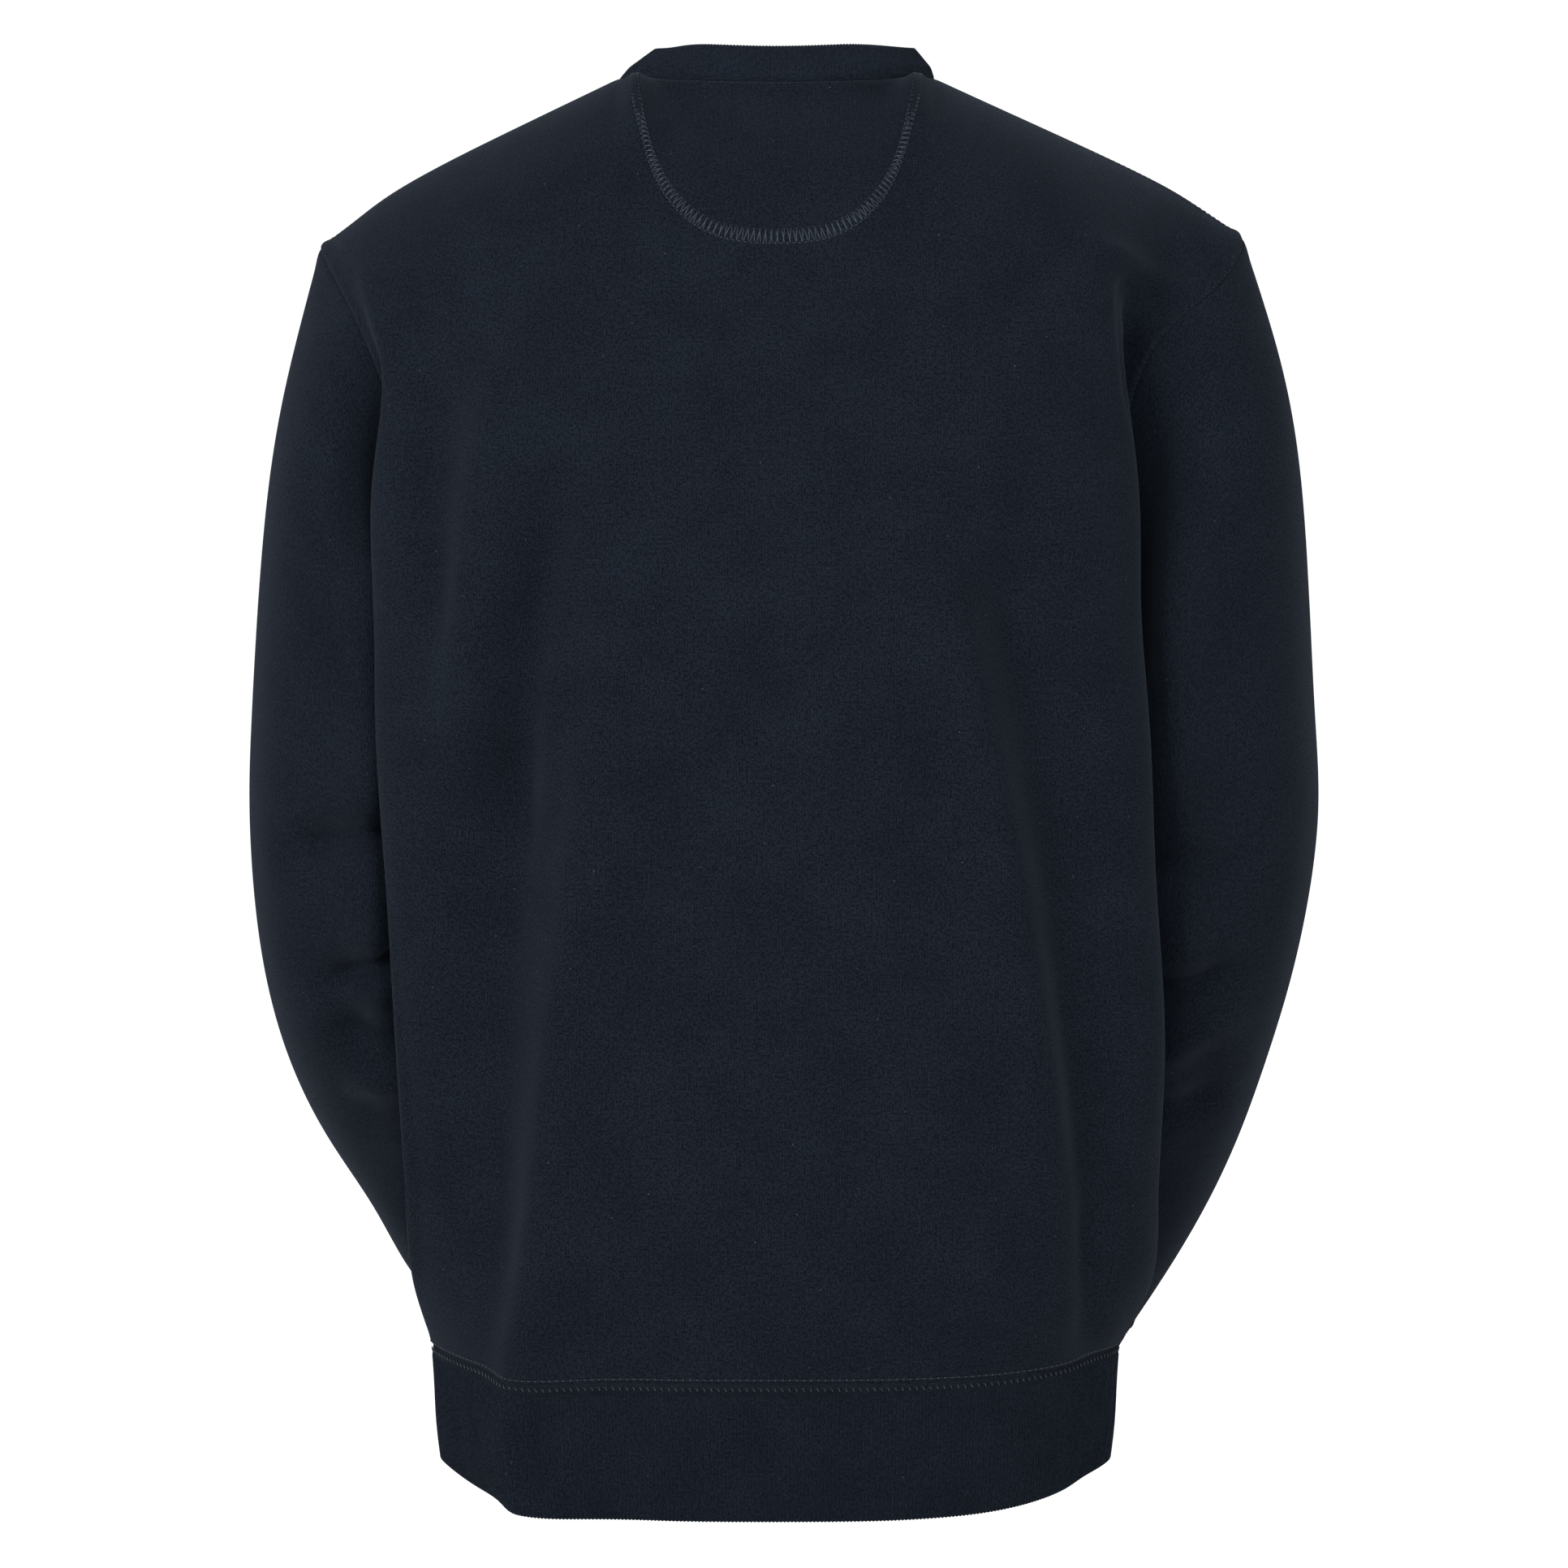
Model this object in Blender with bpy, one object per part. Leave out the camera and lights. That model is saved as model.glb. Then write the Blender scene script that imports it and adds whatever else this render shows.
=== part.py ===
"""Crewneck sweatshirt, a man's size L, hollow and filled out as when it is worn.

Metres, +Z up. The origin is the middle of the neck at the height where the shoulder seams meet the collar.
The wearer faces -Y, and +X is the wearer's left. Every piece is one wall of cloth. Its middle surface is a
net of sections read by smooth splines, so pieces that are sewn together share their edge points, and each is
then drawn in from the seam and given its thickness along normals that the joined pieces share.
"""

import bmesh
import bpy
import numpy as np

# Cloth
FLEECE = 0.0017
RIB = 0.0028
FACING = 0.0014
SEAM_THICKNESS = 0.0013
SEAM_GAP = 0.00034

# Neck
NECK_HALF = 0.0810
NECK_Y = 0.004
NECK_SIDE_Z = -0.0015
NECK_BACK = (0.054, -0.0088)
NECK_FRONT = (-0.080, -0.086)
NECK_BETWEEN = 0.0575
BAND_HEIGHT = 0.0185
BAND_LEAN = 0.0070
BAND_SIDE_HEIGHT = 0.0166
BAND_SIDE_LEAN = {"left": 0.0190, "right": 0.0105}

# Half-moon facing inside the back neck
MOON_HALF = 0.0705
MOON_DEEP = 0.1030
MOON_SQUARENESS = 3.2
MOON_TOP = 0.0025
MOON_SINK = 0.0034
MOON_COLUMNS = 13
MOON_ROWS = 8
MOON_BUNCHING = 1.25
MOON_END = 0.965

SIDES = {"left": 1.0, "right": -1.0}


def table(columns, *rows):
    """A list of rows whose values are read by their columns' names."""
    names = columns.split()
    return [dict(zip(names, row)) for row in rows]


# Level sections of the body from the hem seam to the armpit: how far out the back's edge, the side seam and
# the front's edge lie, how far back and forward they are, and how much lower the middle hangs than the sides
BODY = table(
    "level  left    right   edge_y side_left side_right side_y  back   front  front_half front_edge_y droop",
    (-0.650, 0.1748, 0.1736, 0.032, 0.1690, 0.1695, -0.005, 0.1230, 0.124, 0.158, -0.045, 0.010),
    (-0.620, 0.1835, 0.1890, 0.042, 0.1690, 0.1730, -0.010, 0.1280, 0.131, 0.158, -0.056, 0.008),
    (-0.578, 0.1865, 0.1920, 0.055, 0.1640, 0.1680, -0.012, 0.1310, 0.136, 0.152, -0.066, 0.005),
    (-0.500, 0.1900, 0.1940, 0.065, 0.1590, 0.1620, -0.012, 0.1310, 0.140, 0.151, -0.073, 0.002),
    (-0.410, 0.1945, 0.1890, 0.072, 0.1570, 0.1580, -0.010, 0.1370, 0.144, 0.154, -0.078, 0.000),
    (-0.335, 0.1985, 0.1855, 0.076, 0.1570, 0.1540, -0.008, 0.1430, 0.146, 0.157, -0.080, 0.000),
    (-0.275, 0.2005, 0.1820, 0.078, 0.1710, 0.1640, -0.005, 0.1460, 0.146, 0.161, -0.080, 0.000),
)

# How flat each half's middle hangs before it rises to the side
DROOP_FLATNESS = {"left": 6, "right": 4}

# The yoke above the armpit, by height from armpit (0) to shoulder (1): the fold at the panel's outer edge,
# the cloth that turns under it, and the armhole seam
YOKE_COLUMNS = "height edge_x edge_y edge_z under_x under_y seam_x seam_y seam_z"
YOKE = {
    ("back", "left"): table(
        YOKE_COLUMNS,
        (0.32, 0.2013, 0.079, -0.213, -0.013, -0.001, 0.1830, 0.038, -0.218),
        (0.62, 0.1960, 0.088, -0.146, -0.001, -0.001, 0.2020, 0.068, -0.152),
        (0.82, 0.2030, 0.064, -0.101, 0.000, 0.003, 0.2215, 0.046, -0.112),
    ),
    ("back", "right"): table(
        YOKE_COLUMNS,
        (0.32, 0.1805, 0.082, -0.218, -0.010, -0.002, 0.1725, 0.036, -0.214),
        (0.62, 0.1725, 0.087, -0.146, -0.008, -0.010, 0.1900, 0.059, -0.1455),
        (0.82, 0.1755, 0.074, -0.099, -0.008, -0.008, 0.2275, 0.040, -0.1080),
    ),
    ("front", "left"): table(
        YOKE_COLUMNS,
        (0.32, 0.1610, -0.088, -0.212, -0.003, 0.002, 0.1740, -0.046, -0.214),
        (0.62, 0.1620, -0.092, -0.148, 0.002, -0.003, 0.1800, -0.074, -0.150),
        (0.82, 0.1850, -0.064, -0.098, 0.000, -0.003, 0.2080, -0.050, -0.110),
    ),
    ("front", "right"): table(
        YOKE_COLUMNS,
        (0.32, 0.1590, -0.088, -0.212, -0.003, 0.002, 0.1710, -0.046, -0.214),
        (0.62, 0.1620, -0.092, -0.148, 0.002, -0.003, 0.1800, -0.074, -0.150),
        (0.82, 0.1870, -0.064, -0.094, 0.000, -0.003, 0.2110, -0.050, -0.106),
    ),
}

# The shoulder's slope, from the collar to the sleeve seam
SLOPE = {
    "left": table(
        "out fall",
        (0.081, 0.000),
        (0.137, 0.0276),
        (0.196, 0.0586),
        (0.217, 0.0740),
        (0.2345, 0.0872),
    ),
    "right": table(
        "out fall",
        (0.081, 0.000),
        (0.137, 0.0262),
        (0.196, 0.0538),
        (0.217, 0.0664),
        (0.2385, 0.0812),
    ),
}
SHOULDER_Y = -0.002

# How fully the cloth rolls over the shoulder, from the blade's column to the middle of the neck
ROLL = (2.4, 2.0, 1.65, 1.5)

# Rings of the sleeves below the armpit, square to the arm: the height and place of the outer side, and the
# ring's size from side to side and from back to front. The last rows are the cuff's.
SLEEVE_COLUMNS = "level outer middle_y wide deep"
SLEEVE = {
    "left": table(
        SLEEVE_COLUMNS,
        (-0.325, 0.2722, -0.022, 0.103, 0.170),
        (-0.380, 0.2738, -0.025, 0.110, 0.166),
        (-0.435, 0.2706, -0.036, 0.105, 0.156),
        (-0.490, 0.2608, -0.066, 0.099, 0.140),
        (-0.540, 0.2420, -0.099, 0.090, 0.118),
        (-0.585, 0.2184, -0.124, 0.079, 0.098),
        (-0.618, 0.2020, -0.141, 0.066, 0.086),
        (-0.636, 0.1915, -0.150, 0.058, 0.070),
        (-0.662, 0.1790, -0.162, 0.054, 0.060),
        (-0.686, 0.1690, -0.172, 0.053, 0.059),
    ),
    "right": table(
        SLEEVE_COLUMNS,
        (-0.325, 0.2796, -0.025, 0.114, 0.168),
        (-0.380, 0.2818, -0.030, 0.119, 0.164),
        (-0.440, 0.2736, -0.038, 0.110, 0.154),
        (-0.495, 0.2606, -0.066, 0.099, 0.138),
        (-0.550, 0.2445, -0.097, 0.091, 0.118),
        (-0.600, 0.2235, -0.124, 0.080, 0.098),
        (-0.637, 0.2030, -0.142, 0.066, 0.086),
        (-0.655, 0.1930, -0.151, 0.058, 0.070),
        (-0.681, 0.1800, -0.163, 0.054, 0.060),
        (-0.705, 0.1700, -0.173, 0.053, 0.059),
    ),
}
CUFF_ROWS = 2

# How much further out each of a ring's eight points lies than on an ellipse, and how much of that each ring
# takes: the cloth lies flat against the body's side, and the wrist is round
RING_FULLNESS = (0.0, 0.02, 0.0, 0.11, 0.0, 0.04, 0.0, 0.02)
RING_SHARES = (1.0, 1.0, 1.0, 0.8, 0.6, 0.4, 0.2, 0.0, 0.0, 0.0)

# The hem band below its seam: share of the seam's size, depth below the seam, and extra drop in the middle
HEM = table(
    "share drop droop",
    (0.992, 0.020, 0.012),
    (0.986, 0.040, 0.016),
    (0.974, 0.058, 0.019),
)

# Largest folds, as paths seen from behind (across, up): start, middle, end, half-width, height off the cloth,
# and how much wider the side to the path's left is than the one to its right
FOLD_COLUMNS = "x0 z0 x1 z1 x2 z2 width height lean"
BACK_FOLDS = table(
    FOLD_COLUMNS,
    (0.066, -0.180, 0.106, -0.485, 0.140, -0.790, 0.020, 0.0100, -0.40),
    (0.094, -0.185, 0.119, -0.290, 0.133, -0.420, 0.013, -0.0110, 0.20),
    (0.124, -0.310, 0.143, -0.480, 0.150, -0.655, 0.029, -0.0200, 0.25),
    (0.120, -0.110, 0.143, -0.215, 0.160, -0.380, 0.017, 0.0070, -0.30),
    (0.156, -0.125, 0.170, -0.200, 0.168, -0.310, 0.013, -0.0075, 0.00),
    (-0.066, -0.205, -0.111, -0.385, -0.150, -0.620, 0.016, 0.0080, 0.35),
    (-0.094, -0.205, -0.137, -0.380, -0.163, -0.640, 0.020, -0.0125, -0.20),
    (-0.050, -0.100, -0.035, -0.160, -0.012, -0.235, 0.021, 0.0055, 0.00),
    (-0.130, -0.200, -0.122, -0.260, -0.110, -0.310, 0.016, -0.0060, 0.00),
    (-0.159, -0.560, -0.158, -0.615, -0.1575, -0.660, 0.009, -0.0060, 0.00),
    (-0.136, -0.655, -0.140, -0.690, -0.146, -0.720, 0.011, -0.0045, 0.00),
    (-0.150, -0.086, -0.188, -0.094, -0.224, -0.116, 0.008, 0.0060, 0.30),
)
FRONT_FOLDS = table(
    FOLD_COLUMNS,
    (0.090, -0.210, 0.105, -0.400, 0.120, -0.660, 0.018, 0.0070, -0.20),
    (0.118, -0.190, 0.132, -0.300, 0.140, -0.420, 0.016, -0.0075, 0.10),
    (-0.085, -0.190, -0.110, -0.380, -0.125, -0.640, 0.017, 0.0070, 0.20),
    (-0.112, -0.180, -0.130, -0.290, -0.140, -0.400, 0.016, -0.0070, -0.10),
    (0.060, -0.480, 0.030, -0.560, 0.010, -0.640, 0.016, -0.0040, 0.20),
    (-0.040, -0.300, -0.060, -0.430, -0.070, -0.560, 0.020, 0.0040, 0.20),
)
SLEEVE_FOLDS = table(
    FOLD_COLUMNS,
    (0.210, -0.150, 0.206, -0.280, 0.206, -0.430, 0.014, 0.0085, 0.00),
    (0.203, -0.400, 0.198, -0.490, 0.188, -0.590, 0.014, 0.0070, 0.00),
    (-0.205, -0.160, -0.204, -0.280, -0.206, -0.430, 0.014, 0.0065, 0.00),
    (-0.208, -0.400, -0.204, -0.490, -0.194, -0.580, 0.014, 0.0060, 0.00),
    (0.258, -0.458, 0.195, -0.454, 0.140, -0.448, 0.014, -0.0050, 0.00),
    (-0.262, -0.466, -0.200, -0.470, -0.140, -0.462, 0.014, -0.0045, 0.00),
)

# Net columns from one side seam to the other, as distances across the panel, and each gap's divisions.
# Rows run from the hem seam up to the shoulder.
COLUMN_GAPS = (0.032, 0.032, 0.054, 0.068, 0.035, 0.057)
COLUMN_STEPS = (2, 2, 4, 5, 2, 4)
ROW_GAPS = (0.030, 0.042, 0.078, 0.090, 0.075, 0.060, 0.060, 0.065, 0.048, 0.057)
ROW_STEPS = (1, 2, 2, 3, 3, 2, 3, 3, 2, 3)
ARMPIT_ROW = 6
HPS_COLUMN = 4


def spline(knots, values, at):
    """A natural cubic through values (first axis) at the knots, read at the places in `at`."""
    knots = np.asarray(knots, float)
    values = np.asarray(values, float)
    flat = values.reshape(len(knots), -1)
    gap = np.diff(knots)
    slope = np.diff(flat, axis=0) / gap[:, None]
    system = np.eye(len(knots))
    right = np.zeros_like(flat)
    for i in range(1, len(knots) - 1):
        system[i, i - 1 : i + 2] = gap[i - 1], 2 * (gap[i - 1] + gap[i]), gap[i]
        right[i] = 6 * (slope[i] - slope[i - 1])
    bend = np.linalg.solve(system, right)
    at = np.asarray(at, float)
    k = np.clip(np.searchsorted(knots, at, side="right") - 1, 0, len(knots) - 2)
    t = (at - knots[k])[:, None]
    h = gap[k][:, None]
    found = (
        flat[k]
        + t * (slope[k] - h * (2 * bend[k] + bend[k + 1]) / 6)
        + t**2 * bend[k] / 2
        + t**3 * (bend[k + 1] - bend[k]) / (6 * h)
    )
    return found.reshape((len(at),) + values.shape[1:])


def ring_spline(knots, length, values, at):
    """The same through a closed ring, whose first point comes again after `length`."""
    turns = range(-1, 2)
    long_knots = np.concatenate([np.asarray(knots) + turn * length for turn in turns])
    return spline(long_knots, np.concatenate([values] * 3), at)


def places(gaps, steps):
    """Places along a row of gaps, each divided into its number of steps."""
    starts = np.concatenate([[0], np.cumsum(gaps)])
    found = [
        start + gap * np.arange(count) / count
        for start, gap, count in zip(starts, gaps, steps)
    ]
    return np.concatenate(found + [starts[-1:]])


def smooth(low, high, value):
    t = np.clip((value - low) / (high - low), 0, 1)
    return t * t * (3 - 2 * t)


def mix(a, b, t):
    return np.asarray(a) * (1 - t) + np.asarray(b) * t


def body_half(row, face, side):
    """Net points of one level section, from the side seam to just before the middle."""
    sign = SIDES[side]
    seam = (row["side_" + side], row["side_y"])
    if face == "back":
        edge = (row[side], row["edge_y"])
        deep = row["back"]
    else:
        edge = (row["front_half"], row["front_edge_y"])
        deep = -row["front"]
    points = [
        seam,
        (mix(seam[0], edge[0], 0.27), mix(seam[1], edge[1], 0.60)),
        edge,
        (0.80 * edge[0], mix(edge[1], deep, 0.62)),
        (0.43 * edge[0], mix(edge[1], deep, 0.93)),
        (0.29 * edge[0], mix(edge[1], deep, 0.975)),
    ]
    flatness = DROOP_FLATNESS[side]
    level = [row["level"] - row["droop"] * (1 - abs(x / edge[0]) ** flatness) for x, _ in points]
    return [(sign * x, y, min(z, row["level"])) for (x, y), z in zip(points, level)]


def fall_of(height, fullness):
    """How far the cloth has rolled over the shoulder, 0 at the armpit's height and 1 on the shoulder."""
    return 1 - (1 - height**fullness) ** (1 / fullness)


def top_half(face, side):
    """Net points of the shoulder seam and the neck seam, from the sleeve to just before the middle."""
    sign = SIDES[side]
    line = SLOPE[side]
    out = [row["out"] for row in line]
    fall = [row["fall"] for row in line]
    shoulder = out[-1]
    xs = (shoulder, 0.217, 0.196, 0.137)
    points = [(sign * x, SHOULDER_Y, -float(np.interp(x, out, fall))) for x in xs]
    points.append((sign * NECK_HALF, NECK_Y, NECK_SIDE_Z))
    middle = NECK_BACK if face == "back" else NECK_FRONT
    round_y = 0.66 if face == "back" else 0.62
    round_z = 0.60 if face == "back" else 0.58
    points.append((sign * NECK_BETWEEN, mix(NECK_Y, middle[0], round_y), middle[1] * round_z))
    return points


def yoke_half(row, side, armpit, top):
    """Net points of one row above the armpit."""
    sign = SIDES[side]
    height = row["height"]
    seam = np.array((sign * row["seam_x"], row["seam_y"], row["seam_z"]))
    edge = np.array((sign * row["edge_x"], row["edge_y"], row["edge_z"]))
    under = mix(edge, seam, 0.5) + (sign * row["under_x"], row["under_y"], 0)
    points = [seam, under, edge]
    for low, high, fullness in zip(armpit[3:], top[3:], ROLL):
        x, _, z = mix(low, high, height)
        y = mix(low[1], high[1], fall_of(height, fullness))
        points.append((x, y, z))
    return points


def panel_net(face):
    """Net of a whole panel: rows from the hem seam to the shoulders, columns from left to right."""
    rows = []
    for row in BODY:
        deep = row["back"] if face == "back" else -row["front"]
        middle = (0.0, deep, row["level"] - row["droop"])
        halves = {side: body_half(row, face, side) for side in SIDES}
        rows.append(halves["left"] + [middle] + halves["right"][::-1])
    armpit = {side: body_half(BODY[-1], face, side) for side in SIDES}
    top = {side: top_half(face, side) for side in SIDES}
    y_top, z_top = NECK_BACK if face == "back" else NECK_FRONT
    middle_low = rows[-1][6]
    for k, left_row in enumerate(YOKE[face, "left"]):
        height = left_row["height"]
        y = mix(middle_low[1], y_top, fall_of(height, ROLL[-1]))
        middle = (0.0, y, mix(middle_low[2], z_top, height))
        halves = {
            side: yoke_half(YOKE[face, side][k], side, armpit[side], top[side])
            for side in SIDES
        }
        rows.append(halves["left"] + [middle] + halves["right"][::-1])
    rows.append(top["left"] + [(0.0, y_top, z_top)] + top["right"][::-1])
    return np.array([[np.asarray(point, float) for point in row] for row in rows])


COLUMN_KNOTS = np.concatenate([[0], np.cumsum(COLUMN_GAPS + COLUMN_GAPS[::-1])])
ROW_KNOTS = np.concatenate([[0], np.cumsum(ROW_GAPS)])
LAST_COLUMN = len(COLUMN_KNOTS) - 1
HPS_KNOTS = COLUMN_KNOTS[HPS_COLUMN], COLUMN_KNOTS[LAST_COLUMN - HPS_COLUMN]


def read_rows(nets, columns):
    """Each net row read at the dense columns. Rows of the body are closed rings through both panels."""
    width = COLUMN_KNOTS[-1]
    found = {}
    for face, other in (("back", "front"), ("front", "back")):
        rows = []
        for k, row in enumerate(nets[face]):
            if k <= ARMPIT_ROW:
                ring = np.concatenate([row, nets[other][k][-2:0:-1]])
                knots = np.concatenate([COLUMN_KNOTS, width + COLUMN_KNOTS[1:-1]])
                rows.append(ring_spline(knots, 2 * width, ring, columns))
                continue
            corner = (0, 0.25, 0.6, 1)[k - ARMPIT_ROW - 1]
            whole = spline(COLUMN_KNOTS, row, columns)
            parts = np.zeros_like(whole)
            stops = (0, HPS_COLUMN, LAST_COLUMN - HPS_COLUMN, LAST_COLUMN)
            for a, b in zip(stops, stops[1:]):
                chosen = (columns >= COLUMN_KNOTS[a] - 1e-9) & (columns <= COLUMN_KNOTS[b] + 1e-9)
                part = spline(COLUMN_KNOTS[a : b + 1], row[a : b + 1], columns[chosen])
                parts[chosen] = part
            rows.append(mix(whole, parts, corner))
        found[face] = np.array(rows)
    return found


def band_top(point):
    """The collar's upper edge above a point of the neck seam: upright behind, leaning in at the sides."""
    inward = np.array((-point[0], -point[1] - 0.010, 0.0))
    inward /= np.linalg.norm(inward)
    forward = smooth(-0.02, -0.085, point[2])
    side = smooth(0.45, 1.0, abs(point[0]) / NECK_HALF) * smooth(-0.075, -0.02, point[1])
    side_lean = BAND_SIDE_LEAN["left" if point[0] > 0 else "right"]
    lean = mix(BAND_LEAN, side_lean, side) * (1 - 0.35 * forward)
    rise = mix(BAND_HEIGHT, BAND_SIDE_HEIGHT, side)
    return point + inward * lean + np.array((0, 0.25 * forward * BAND_HEIGHT, rise))


def panels(columns, row_places):
    """The middle surfaces of back and front, (rows, columns, 3) each."""
    dense = read_rows(panel_nets(), columns)
    top = ROW_KNOTS[-1]
    found = {}
    for face, other in (("back", "front"), ("front", "back")):
        own = dense[face]
        over = np.concatenate([own, dense[other][-2::-1]])
        knots = np.concatenate([ROW_KNOTS, 2 * top - ROW_KNOTS[-2::-1]])
        surface = spline(knots, over, row_places)
        neck = (columns > HPS_KNOTS[0] + 1e-9) & (columns < HPS_KNOTS[1] - 1e-9)
        into = np.minimum(columns - HPS_KNOTS[0], HPS_KNOTS[1] - columns)
        share = smooth(0, 0.045, into)[:, None]
        beyond = np.array([band_top(point) for point in own[-1]])
        ghost = mix(dense[other][-2], beyond, share)
        ended = spline(np.append(ROW_KNOTS, top + 0.03), np.append(own, ghost[None], axis=0), row_places)
        surface[:, neck] = ended[:, neck]
        found[face] = surface
    below = row_places <= ROW_KNOTS[ARMPIT_ROW] + 1e-9
    first = sum(ROW_STEPS[:ARMPIT_ROW])
    for edge in (0, -1):
        side_seam = mix(found["back"][below, edge], found["front"][below, edge], 0.5)
        for face in found:
            found[face][below, edge] = side_seam
        loop = ring_spline(np.arange(8), 8, armhole_net(edge), AROUND)
        half = len(loop) // 2
        found["back"][first:, edge] = loop[half::-1]
        found["front"][first:, edge] = np.concatenate([loop[half:], loop[:1]])
    return found


def panel_nets():
    return {face: panel_net(face) for face in ("back", "front")}


def armhole_net(edge):
    """Net points of one armhole, from the shoulder down the back to the armpit and up the front."""
    nets = panel_nets()
    back = nets["back"][ARMPIT_ROW:, edge]
    front = nets["front"][ARMPIT_ROW:, edge]
    return np.concatenate([back[::-1], front[1:-1]])


ARMHOLE_STEPS = ROW_STEPS[ARMPIT_ROW:]
AROUND = places([1] * 8, ARMHOLE_STEPS[::-1] + ARMHOLE_STEPS)[:-1]


def ring_frames(side):
    """Centre, outward and backward half-axes of each sleeve ring, square to the arm."""
    rows = SLEEVE[side]
    sign = SIDES[side]
    outer = np.array([(sign * r["outer"], r["middle_y"], r["level"]) for r in rows])
    along = np.gradient(outer, axis=0)
    along /= np.linalg.norm(along, axis=1)[:, None]
    frames = []
    for row, point, axis in zip(rows, outer, along):
        out = np.array((sign, 0.0, 0.0))
        out -= axis * (out @ axis)
        out /= np.linalg.norm(out)
        back = np.cross(axis, out)
        back *= np.sign(back[1]) / np.linalg.norm(back)
        centre = point - out * row["wide"] / 2
        frames.append((centre, out * row["wide"] / 2, back * row["deep"] / 2))
    return frames


def hermite(start, leaving, end, arriving, t):
    """A point of the cubic between two points with the given directions, at t from 0 to 1."""
    return (
        (2 * t**3 - 3 * t**2 + 1) * start
        + (t**3 - 2 * t**2 + t) * leaving
        + (3 * t**2 - 2 * t**3) * end
        + (t**3 - t**2) * arriving
    )


CAP_RINGS = (0.30, 0.66)
CAP_PULL = 0.85
CAP_LEAN = {"left": 0.30, "right": 0.40}


def sleeve_net(side, armhole):
    """Rings from the armhole (eight net points) to the cuff's end."""
    frames = ring_frames(side)
    angles = np.arange(8) * np.pi / 4
    rings = []
    for (centre, out, back), share in zip(frames, RING_SHARES):
        fullness = 1 + share * np.array(RING_FULLNESS)
        spokes = np.outer(np.cos(angles), out) + np.outer(np.sin(angles), back)
        rings.append(centre + spokes * fullness[:, None])
    sign = SIDES[side]
    leaning = (CAP_LEAN[side], 0.55, 0.72, 0.86, 0.90, 0.86, 0.72, 0.55)
    cap = []
    for share in CAP_RINGS:
        ring = []
        for k, (start, end) in enumerate(zip(armhole, rings[0])):
            reach = CAP_PULL * np.linalg.norm(end - start)
            spread = 0.12 * np.sin(angles[k]) if k in (1, 2, 6, 7) else 0
            leave = np.array((sign * leaning[k], spread, -np.sqrt(1 - leaning[k] ** 2)))
            arrive = rings[1][k] - rings[0][k]
            arrive /= np.linalg.norm(arrive)
            ring.append(hermite(start, reach * leave, end, reach * arrive, share))
        cap.append(np.array(ring))
    return [np.asarray(armhole)] + cap + rings


SLEEVE_STEPS = (2, 2, 2, 3, 3, 3, 2, 2, 1, 1)
CUFF_STEPS = (2, 1)


def sleeve_surfaces(side):
    """The sleeve and its cuff as rings of dense points, from the shoulder round the back."""
    net = sleeve_net(side, armhole_net(0 if side == "left" else -1))
    dense = np.array([ring_spline(np.arange(8), 8, ring, AROUND) for ring in net])
    middles = dense.mean(axis=1)
    gaps = np.linalg.norm(np.diff(middles, axis=0), axis=1)
    knots = np.concatenate([[0], np.cumsum(gaps)])
    seam = len(dense) - 1 - CUFF_ROWS
    sleeve = spline(knots, dense, places(gaps[:seam], SLEEVE_STEPS))
    cuff = spline(knots, dense, knots[seam] + places(gaps[seam:], CUFF_STEPS))
    cuff[0] = sleeve[-1]
    sleeve[0] = dense[0]
    return sleeve, cuff


def hem_surface(faces):
    """The hem band as rings below the body's first row."""
    seam = np.concatenate([faces["back"][0], faces["front"][0][-2:0:-1]])
    half = np.abs(seam[:, 0]).max()
    rings = [seam]
    for row in HEM:
        ring = seam * (row["share"], row["share"], 1)
        middle = 1 - (seam[:, 0] / half) ** 4
        toward_back = smooth(-0.02, 0.08, seam[:, 1])
        extra = (row["droop"] - BODY[0]["droop"]) * middle * toward_back
        ring[:, 2] -= row["drop"] + extra
        rings.append(ring)
    return np.array(rings)


def neck_surface(faces, columns):
    """The collar as rings above the neck seam."""
    chosen = (columns > HPS_KNOTS[0] - 1e-9) & (columns < HPS_KNOTS[1] + 1e-9)
    back = faces["back"][-1][chosen]
    front = faces["front"][-1][chosen]
    seam = np.concatenate([back, front[-2:0:-1]])
    top = np.array([band_top(point) for point in seam])
    outward = seam - seam.mean(axis=0)
    outward[:, 2] = 0
    outward /= np.linalg.norm(outward, axis=1)[:, None]
    middle = mix(seam, top, 0.5) + 0.0012 * outward
    return np.array([seam, middle, top])


def path_relief(points, fold):
    """How much one fold raises each point: a soft rib along a bent path, fading at both ends."""
    t = np.linspace(0, 1, 13)[:, None]
    ends = np.array([(fold["x0"], fold["z0"]), (fold["x1"], fold["z1"]), (fold["x2"], fold["z2"])])
    bend = 2 * ends[1] - (ends[0] + ends[2]) / 2
    line = (1 - t) ** 2 * ends[0] + 2 * t * (1 - t) * bend + t**2 * ends[2]
    flat = points[..., (0, 2)].reshape(-1, 1, 2)
    step = np.diff(line, axis=0)
    share = np.clip(((flat - line[:-1]) * step).sum(-1) / (step**2).sum(-1), 0, 1)
    apart = np.linalg.norm(flat - line[:-1] - share[..., None] * step, axis=-1)
    nearest = apart.argmin(axis=1)
    rows = np.arange(len(flat))
    along = (nearest + share[rows, nearest]) / len(step)
    reach = flat[:, 0] - line[nearest]
    turn = step[nearest, 0] * reach[:, 1] - step[nearest, 1] * reach[:, 0]
    width = fold["width"] * (1 + np.where(turn < 0, -1, 1) * fold["lean"])
    envelope = smooth(0, 0.3, along) * smooth(1, 0.75, along)
    rib = np.exp(-((apart[rows, nearest] / width) ** 2))
    return (fold["height"] * rib * envelope).reshape(points.shape[:-1])


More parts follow.
